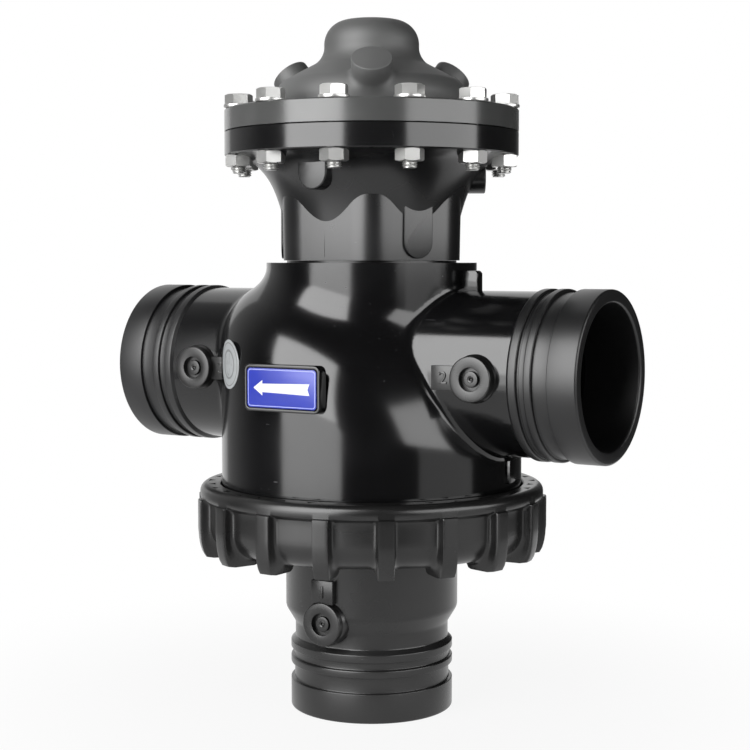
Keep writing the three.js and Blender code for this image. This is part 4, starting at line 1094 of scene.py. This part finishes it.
def bonnet_casting():
    top = COVER_TOP
    tilt = boss_places()
    seed = merged(
        rod(170, SPLIT - 5, top - 0.5, 96),
        rod(98, SPLIT - 4, top + 13, 64),
        rod(50, SPLIT - 4, CROWN - 1, 48),
        *[moved(rod(20, -22, -2, 32), matrix) for matrix in tilt],
    )
    obj = cast(seed, bonnet_field, 0.75 * mm("casting_step"))
    obj = trimmed(obj, ((0, 0, SPLIT), (0, 0, -1)))
    rim = spun([(0, 300), (FLANGE_R, 300), (FLANGE_R, top - 0.6), (63.1, top + 15.8), (63.1, CROWN + 6),
                (0, CROWN + 6)], 160)
    carved(obj, rim, "INTERSECT")
    cavity = spun([(0, 368.3), (14, 367.6), (19.6, 362), (20.6, 352), (28.5, 343.5), (46.5, 332),
                   (47.5, 325.2), (58, 320.2), (58, 316.7), (66.8, 316.7), (66.8, 308), (0, 308)])
    carved(obj, cavity)
    carved(obj, moved(rod(8.6, -34, 2, 40), tilt[1]))
    return to_bmesh(obj)


class VALVE_OT_base(bpy.types.Operator):
    """Moulds the actuator base with its skirt, tongues, flange and spigot"""

    bl_idname = "valve.base"
    bl_label = "Actuator base"

    def execute(self, context):
        black("base_casting", base_casting(), "base_gloss", "actuator_base")
        black("base_skirt", base_skirt(), "base_gloss", "actuator_base")
        for i in range(3):
            upper = tongue(120 * i, 61.5, FLANGE_FOOT - 19.8, FLANGE_FOOT + 1, 0.9)
            black(f"upper_tongue_{i + 1}", upper, "base_gloss", "actuator_base")
            lower = tongue(60 + 120 * i, 48.8, BELL_FOOT + 1.0, BELL_FOOT + 33, 0.4)
            black(f"lower_tongue_{i + 1}", lower, "base_gloss", "actuator_base")
            flat = mm("skirt_flats") / 2 + 0.05
            low, high = BELL_FOOT + 2, BELL_FOOT + 25
            seam = slab([(-0.12, low), (0.12, low), (0.12, high), (-0.12, high)], 1.0)
            place = turn_z(120 * i + ACTUATOR_TURN) @ Matrix.Translation((-1.2, -flat, 0)) @ TO_FRONT
            black(f"mould_line_{i + 1}", moved(seam, place), "base_gloss", "actuator_base")
        inner, outer, neck_top = 39.1, 46.1, NECK_TOP + 1.1
        spigot = rounded([(inner, SPIGOT_FOOT, 0.6), (outer, SPIGOT_FOOT, 0.8), (outer, neck_top),
                          (inner, neck_top)])
        black("base_spigot", spun(spigot, 128), "satin", "actuator_base")
        hub = rounded([(7.6, SPIGOT_FOOT, 0.5), (17, SPIGOT_FOOT, 1), (17, 262, 1), (11.3, 262),
                       (11.3, 237.8), (7.6, 237.8)])
        black("base_hub", spun(hub, 72), "satin", "actuator_base")
        return {"FINISHED"}


class VALVE_OT_bonnet(bpy.types.Operator):
    """Moulds the bonnet with its dome and three bosses"""

    bl_idname = "valve.bonnet"
    bl_label = "Bonnet"

    def execute(self, context):
        piece("bonnet_casting", bonnet_casting(), HOUSING, "bonnet", ["bonnet"])
        end = mm("boss") / 2 + 0.05
        for i, place in enumerate(boss_places()):
            inner = 4.3 if i == 1 else 0.0
            cap = spun(rounded([(inner, -5), (end, -5), (end, 0, 0.5), (inner, 0)], 3), 72)
            piece(f"bonnet_boss_{i + 1}", moved(cap, place), HOUSING, "bonnet", ["bonnet"])
        return {"FINISHED"}


# ---------------------------------------------------------------- fasteners


def hex_block(flats, low, high, cone_low, cone_high):
    """A hexagon with its corners turned off at the ends that are asked for."""
    bm = bmesh.new()
    corner = flats / 2 / math.cos(math.pi / 6)
    bmesh.ops.create_cone(bm, cap_ends=True, segments=6, radius1=corner, radius2=corner, depth=high - low,
                          matrix=Matrix.Translation((0, 0, (low + high) / 2)))
    reach, cut = flats / 2 * 0.96, (corner - flats / 2 * 0.96) * math.tan(math.radians(28))
    big = corner + 2
    spare = (big - reach) * math.tan(math.radians(28))
    profile = [(0, low - (0 if cone_low else 2))]
    profile += [(reach, low), (big, low + spare)] if cone_low else [(big, low - 2)]
    profile += [(big, high - spare), (reach, high)] if cone_high else [(big, high + 2)]
    profile += [(0, high + (0 if cone_high else 2))]
    obj = scratch(bm)
    carved(obj, spun(profile, 72), "INTERSECT")
    return soften(to_bmesh(obj), min(0.12, cut), 1, 40)


def threaded_rod(diameter, low, high, pitch, steps=24):
    """A rod whose skin follows a helical thread."""
    rows = max(8, round((high - low) / pitch * 6))
    profile = [(0, low), *[(diameter / 2, low + (high - low) * k / rows) for k in range(rows + 1)], (0, high)]
    bm = spun(profile, steps)
    deep = 0.61 * pitch
    for v in bm.verts:
        r = v.co.xy.length
        if r < diameter / 4:
            continue
        turn = math.atan2(v.co.y, v.co.x) / math.tau
        wave = abs(((v.co.z / pitch - turn) % 1.0) * 2 - 1)
        end = min(1.0, (v.co.z - low) / 0.9, (high - v.co.z) / 0.5 + 0.4)
        reach = (diameter / 2 - deep * (1 - wave)) * (1 - 0.14 * (1 - max(0.0, end)))
        v.co.xy = v.co.xy.normalized() * reach
    bmesh.ops.recalc_face_normals(bm, faces=bm.faces)
    return bm


class VALVE_OT_fasteners(bpy.types.Operator):
    """Makes the twelve flange bolts with their washers and nuts"""

    bl_idname = "valve.fasteners"
    bl_label = "Bolts, washers and nuts"

    def execute(self, context):
        bolt, flats = mm("bolt"), mm("bolt_flats")
        washer_low, washer_high = (box[2] for box in box_mm("flange_washer_01"))
        nut_low, nut_high = (box[2] for box in box_mm("flange_nut_01"))
        spread = np.random.default_rng(8).uniform(0, 60, 24)
        for i in range(12):
            number = f"{i + 1:02d}"
            at = middle_mm("flange_washer_" + number)
            place = Matrix.Translation((at[0], at[1], 0))
            head = hex_block(flats, washer_high, HEAD_HIGH[2], False, True)
            shank = threaded_rod(bolt - 0.1, HEAD_LOW[2], FLANGE_FOOT + 2, 1.25)
            stem = rod(bolt - 0.2, FLANGE_FOOT + 1.5, washer_high + 1, 24)
            made = moved(merged(head, shank, stem), place @ turn_z(spread[i]))
            piece("bolt_" + number, made, HOUSING, "bolts", ["flange_bolt_" + number], 28)
            ring = spun(rounded([(4.4, washer_low), (8, washer_low, 0.2), (8, washer_high, 0.3),
                                 (4.4, washer_high)], 2), 48)
            node = "flange_washer_" + number
            piece("washer_" + number, moved(ring, place), HOUSING, "bolts", [node])
            block = scratch(hex_block(flats, nut_low, nut_high, True, True))
            nut = to_bmesh(carved(block, rod(bolt + 0.1, nut_low - 1, nut_high + 1, 32)))
            made = moved(nut, place @ turn_z(spread[i + 12]))
            piece("hex_nut_" + number, made, HOUSING, "bolts", ["flange_nut_" + number], 28)
        return {"FINISHED"}


# ---------------------------------------------------------------- trim inside


def wound_spring(diameter, wire, low, high, coils):
    """A helical spring whose first and last coils lie flat."""
    curve = bpy.data.curves.new("spring", "CURVE")
    curve.dimensions, curve.bevel_depth, curve.bevel_resolution, curve.use_fill_caps = "3D", wire / 2, 4, True
    count = coils * 36
    line = curve.splines.new("POLY")
    line.points.add(count)
    for k in range(count + 1):
        share = k / count
        ends = min(1.0, max(0.0, (share - 0.12) / 0.76))
        angle = math.tau * coils * share
        z = low + (high - low) * (ends * 0.86 + share * 0.14)
        line.points[k].co = (diameter / 2 * math.cos(angle), diameter / 2 * math.sin(angle), z, 1)
    bm = solid_curve(curve)
    bmesh.ops.recalc_face_normals(bm, faces=bm.faces)
    return bm


class VALVE_OT_trim(bpy.types.Operator):
    """Makes the stem, plug, plates, seals, spring and diaphragm"""

    bl_idname = "valve.trim"
    bl_label = "Trim"

    def execute(self, context):
        for node, outer, inner, edge, finish, slot, body in (
            ("lower_diaphragm_plate", 38, 6.3, 1.2, "plates", "plate_steel", TRIM),
            ("upper_diaphragm_plate", 38, 6.3, 1.2, "plates", "plate_steel", TRIM),
            ("upper_seat_seal", 43, 6.3, 0.5, "rubber", "rubber", TRIM),
            ("plug", 43, 6.3, 0.8, "satin", "body_black", TRIM),
            ("lower_seat_seal", 43, 6.3, 0.5, "rubber", "rubber", TRIM),
            ("guide_bush", 11, 7.3, 0.5, "bush", "bush", HOUSING),
        ):
            low, high = (box[2] for box in box_mm(node))
            profile = rounded([(inner, low), (outer, low, edge), (outer, high, edge), (inner, high)], 3)
            piece(node + "_turned", spun(profile, 112), body, finish, [node])
        low, high = (box[2] for box in box_mm("stem"))
        plug_top = box_mm("upper_seat_seal")[1][2]
        plate_foot = box_mm("lower_diaphragm_plate")[0][2]
        thin, thick = 5.7, 7
        profile = rounded([(0, low), (thin, low, 0.8), (thin, plug_top), (thick, plug_top, 0.5),
                           (thick, plate_foot, 0.5), (thin, plate_foot), (thin, high, 0.8), (0, high)], 3)
        piece("stem_turned", spun(profile, 48), TRIM, "trim", ["stem"])
        for node in ("stem_top_nut", "stem_bottom_nut"):
            low, high = (box[2] for box in box_mm(node))
            nut = carved(scratch(hex_block(19, low, high, True, True)), rod(12.6, low - 1, high + 1, 40))
            piece(node + "_hex", to_bmesh(nut), TRIM, "trim", [node], 28)
        for node in ("stem_seal", "neck_seal", "tailpiece_seal"):
            low, high = box_mm(node)
            section = (high[2] - low[2]) / 2
            centre, middle = high[0] - section, (high[2] + low[2]) / 2
            turns = [k * math.tau / 12 for k in range(12)]
            ring = [(centre + section * math.cos(a), middle + section * math.sin(a)) for a in turns]
            piece(node + "_ring", spun(ring, 96), HOUSING, "rubber", [node])
        self.spring()
        self.diaphragm()
        return {"FINISHED"}

    def spring(self):
        low, high = box_mm("return_spring")
        diameter, wire, coils = 48, 4, 6
        coil = wound_spring(diameter, wire, low[2] + wire / 2, high[2] - wire / 2, coils)
        obj = piece("spring_coil", coil, HOUSING, "spring", ["return_spring"])
        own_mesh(obj)

    def diaphragm(self):
        low, high = box_mm("diaphragm")
        half = 1.3
        clamp, middle = low[2] + half, high[2] - half
        rise = clamp - middle
        start, wide, steps = 38, 19, 12
        roll = [(start + wide * k / steps, middle + rise * (1 - math.cos(math.pi * k / steps)) / 2)
                for k in range(steps + 1)]
        line = [(6.3, middle), (20, middle), *roll, (66.4, clamp)]
        under = [(r, z - half) for r, z in line]
        over = [(r, z + half) for r, z in reversed(line)]
        obj = piece("diaphragm_sheet", spun([*under, *over], 112), None, "rubber", ["diaphragm"])
        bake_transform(obj)


# ---------------------------------------------------------------- stage


CAMERA_AT = (0.459, -0.7515, 0.2457)
CAMERA_AIM = (-0.518, 0.852, -0.0722)
CAMERA_LENS = 77.41
CAMERA_SIDE = -58.7  # the camera's direction about Z, in degrees from port 2
BACK_OPENING = (167.0, 218.0)  # where the dark tent is open, in degrees from the camera's side

# name, azimuth and elevation from the camera's side, two widths in degrees, level, rays that see it
SOFT_BOXES = (
    ("left_high", -44.0, 26.0, 48.2, 48.0, 8.6, "glossy"),
    ("left_middle", -45.5, -4.5, 47.0, 13.0, 5.0, "glossy"),
    ("left_low", -45.5, -27.0, 47.0, 32.0, 2.4, "glossy"),
    ("right_high", 56.0, 15.5, 60.0, 27.0, 4.8, "glossy"),
    ("right_low", 57.0, -14.0, 44.0, 32.0, 0.85, "glossy"),
    ("key", -45.5, 10.0, 47.0, 52.0, 4.6, "diffuse"),
    ("fill", 51.0, 10.0, 43.0, 52.0, 1.6, "diffuse"),
    ("overhead", -10.0, 72.0, 40.0, 40.0, 0.5, "diffuse"),
)


def background_rays(tree):
    """1 for camera, glossy and transmission rays, and 0 for the others."""
    path = tree.nodes.new("ShaderNodeLightPath")
    total = path.outputs["Is Camera Ray"]
    for name in ("Is Glossy Ray", "Is Transmission Ray"):
        more = tree.nodes.new("ShaderNodeMath")
        more.operation = "MAXIMUM"
        tree.links.new(total, more.inputs[0])
        tree.links.new(path.outputs[name], more.inputs[1])
        total = more.outputs[0]
    return total


def softbox(name, azimuth, elevation, wide, tall, glow, seen):
    """A soft box in a direction from the camera's side, seen by glossy or by diffuse rays only."""
    turn, rise = math.radians(CAMERA_SIDE + azimuth), math.radians(elevation)
    reach = 1.7
    across, up = (2 * reach * math.tan(math.radians(angle / 2)) for angle in (wide, tall))
    light = bpy.data.lights.new(name, "AREA")
    light.shape, light.size, light.size_y = "RECTANGLE", across, up
    light.energy = glow * math.pi * across * up
    obj = bpy.data.objects.new(name, light)
    out = Vector((math.cos(rise) * math.cos(turn), math.cos(rise) * math.sin(turn), math.sin(rise)))
    obj.location = out * reach + Vector((0, 0, 0.2))
    obj.rotation_euler = (-out).to_track_quat("-Z", "Y").to_euler()
    obj.visible_glossy, obj.visible_diffuse = seen == "glossy", seen == "diffuse"
    bpy.context.scene.collection.objects.link(obj)


def smooth_range(finish, value, start, end, low, high):
    """A socket that goes smoothly from low to high as the value goes from start to end."""
    return finish.node("ShaderNodeMapRange", {"interpolation_type": "SMOOTHSTEP"}, {
        "Value": value, "From Min": start, "From Max": end, "To Min": low, "To Max": high}).outputs["Result"]


def stage_mesh(name, bm, material):
    mesh = bpy.data.meshes.new(name)
    bm.to_mesh(mesh)
    bm.free()
    mesh.materials.append(material)
    obj = bpy.data.objects.new(name, mesh)
    bpy.context.scene.collection.objects.link(obj)
    return obj


class VALVE_OT_stage(bpy.types.Operator):
    """Sets up the floor, the dark tent, the soft boxes and the camera"""

    bl_idname = "valve.stage"
    bl_label = "Stage"

    def execute(self, context):
        scene = context.scene
        scene.view_settings.view_transform = "Standard"
        self.floor()
        self.tent()
        self.world(scene)
        for box in SOFT_BOXES:
            softbox(*box)
        camera = bpy.data.cameras.new("camera")
        camera.lens, camera.sensor_width = CAMERA_LENS, 36
        holder = bpy.data.objects.new("camera", camera)
        holder.location = CAMERA_AT
        holder.rotation_euler = Vector(CAMERA_AIM).to_track_quat("-Z", "Y").to_euler()
        scene.collection.objects.link(holder)
        scene.camera = holder
        return {"FINISHED"}

    def floor(self):
        """A round pale floor that fades into the white background."""
        bm = bmesh.new()
        bmesh.ops.create_circle(bm, cap_ends=True, segments=96, radius=0.60)
        f = Finish("floor", Base_Color=(0.80, 0.80, 0.80), Roughness=0.9, Specular_IOR_Level=0.1)
        away = f.node("ShaderNodeVectorMath", {"operation": "LENGTH"}, {0: f.place}).outputs["Value"]
        fade = smooth_range(f, away, 0.08, 0.34, 0.90, 1.0)
        share = f.node("ShaderNodeMath", {"operation": "MULTIPLY"}, {0: background_rays(f.tree), 1: fade})
        glow = f.node("ShaderNodeEmission", {}, {})
        blend = f.node("ShaderNodeMixShader", {}, {
            0: share.outputs[0], 1: f.shader.outputs[0], 2: glow.outputs[0]})
        f.link(f.tree.nodes["Material Output"].inputs[0], blend.outputs[0])
        stage_mesh("floor", bm, f.material)

    def tent(self):
        """Dark cloth all round, open behind the valve, so that the gloss shows little but the soft boxes."""
        bm = bmesh.new()
        start = math.radians(CAMERA_SIDE + BACK_OPENING[1] - 360)
        end = math.radians(CAMERA_SIDE + BACK_OPENING[0])
        foot, top, radius, hole = -1.4, 3.0, 2.6, 0.01
        corners = ((hole, foot), (radius, foot), (radius, top), (hole, top))
        profile = [bm.verts.new((r, 0, z)) for r, z in corners]
        edges = [bm.edges.new(pair) for pair in zip(profile, profile[1:])]
        bmesh.ops.rotate(bm, verts=bm.verts, cent=(0, 0, 0), matrix=Matrix.Rotation(start, 3, "Z"))
        bmesh.ops.spin(bm, geom=profile + edges, cent=(0, 0, 0), axis=(0, 0, 1), angle=end - start, steps=48)
        f = Finish("dark_cloth", Base_Color=(0.012, 0.012, 0.012), Roughness=1.0, Specular_IOR_Level=0.0,
                   Emission_Strength=1.0)
        aim = f.node("ShaderNodeVectorMath", {"operation": "NORMALIZE"}, {0: f.place}).outputs[0]
        side = math.radians(CAMERA_SIDE - 150)
        near = f.node("ShaderNodeVectorMath", {"operation": "DOT_PRODUCT"}, {
            0: aim, 1: (0.94 * math.cos(side), 0.94 * math.sin(side), 0.34)}).outputs["Value"]
        f.feed("Emission Color", smooth_range(f, near, 0.45, 1.0, 0.03, 0.40))
        stage_mesh("dark_tent", bm, f.material).visible_camera = False

    def world(self, scene):
        world = scene.world or bpy.data.worlds.new("world")
        scene.world = world
        world.use_nodes = True
        tree = world.node_tree
        back = tree.nodes["Background"]
        back.inputs["Color"].default_value = (1, 1, 1, 1)
        level = tree.nodes.new("ShaderNodeMapRange")
        level.inputs["To Min"].default_value = 0.6
        tree.links.new(background_rays(tree), level.inputs["Value"])
        tree.links.new(level.outputs["Result"], back.inputs["Strength"])


# ---------------------------------------------------------------- panel and registration

STEPS = ("body", "bosses", "arrow_plate", "tailpiece", "union_nut", "base", "bonnet", "fasteners", "trim",
         "stage")


class VALVE_PT_panel(bpy.types.Panel):
    """Lists the valve's sizes, finishes and pieces."""

    bl_idname = "VALVE_PT_panel"
    bl_label = "Diaphragm valve"
    bl_space_type = "VIEW_3D"
    bl_region_type = "UI"
    bl_category = "Valve"

    def draw(self, context):
        for group in (context.scene.valve_sizes, context.scene.valve_finishes):
            column = self.layout.column()
            for name in group.__annotations__:
                column.prop(group, name)
        for step in STEPS:
            self.layout.operator("valve." + step)


CLASSES = (
    ValveSizes, ValveFinishes, VALVE_OT_body, VALVE_OT_bosses, VALVE_OT_arrow_plate, VALVE_OT_tailpiece,
    VALVE_OT_union_nut, VALVE_OT_base, VALVE_OT_bonnet, VALVE_OT_fasteners, VALVE_OT_trim, VALVE_OT_stage,
    VALVE_PT_panel,
)


def register():
    for cls in CLASSES:
        bpy.utils.register_class(cls)
    bpy.types.Scene.valve_sizes = PointerProperty(type=ValveSizes)
    bpy.types.Scene.valve_finishes = PointerProperty(type=ValveFinishes)


def unregister():
    del bpy.types.Scene.valve_sizes
    del bpy.types.Scene.valve_finishes
    for cls in reversed(CLASSES):
        bpy.utils.unregister_class(cls)


def main():
    register()
    for step in STEPS:
        getattr(bpy.ops.valve, step)()


if __name__ == "__main__":
    main()
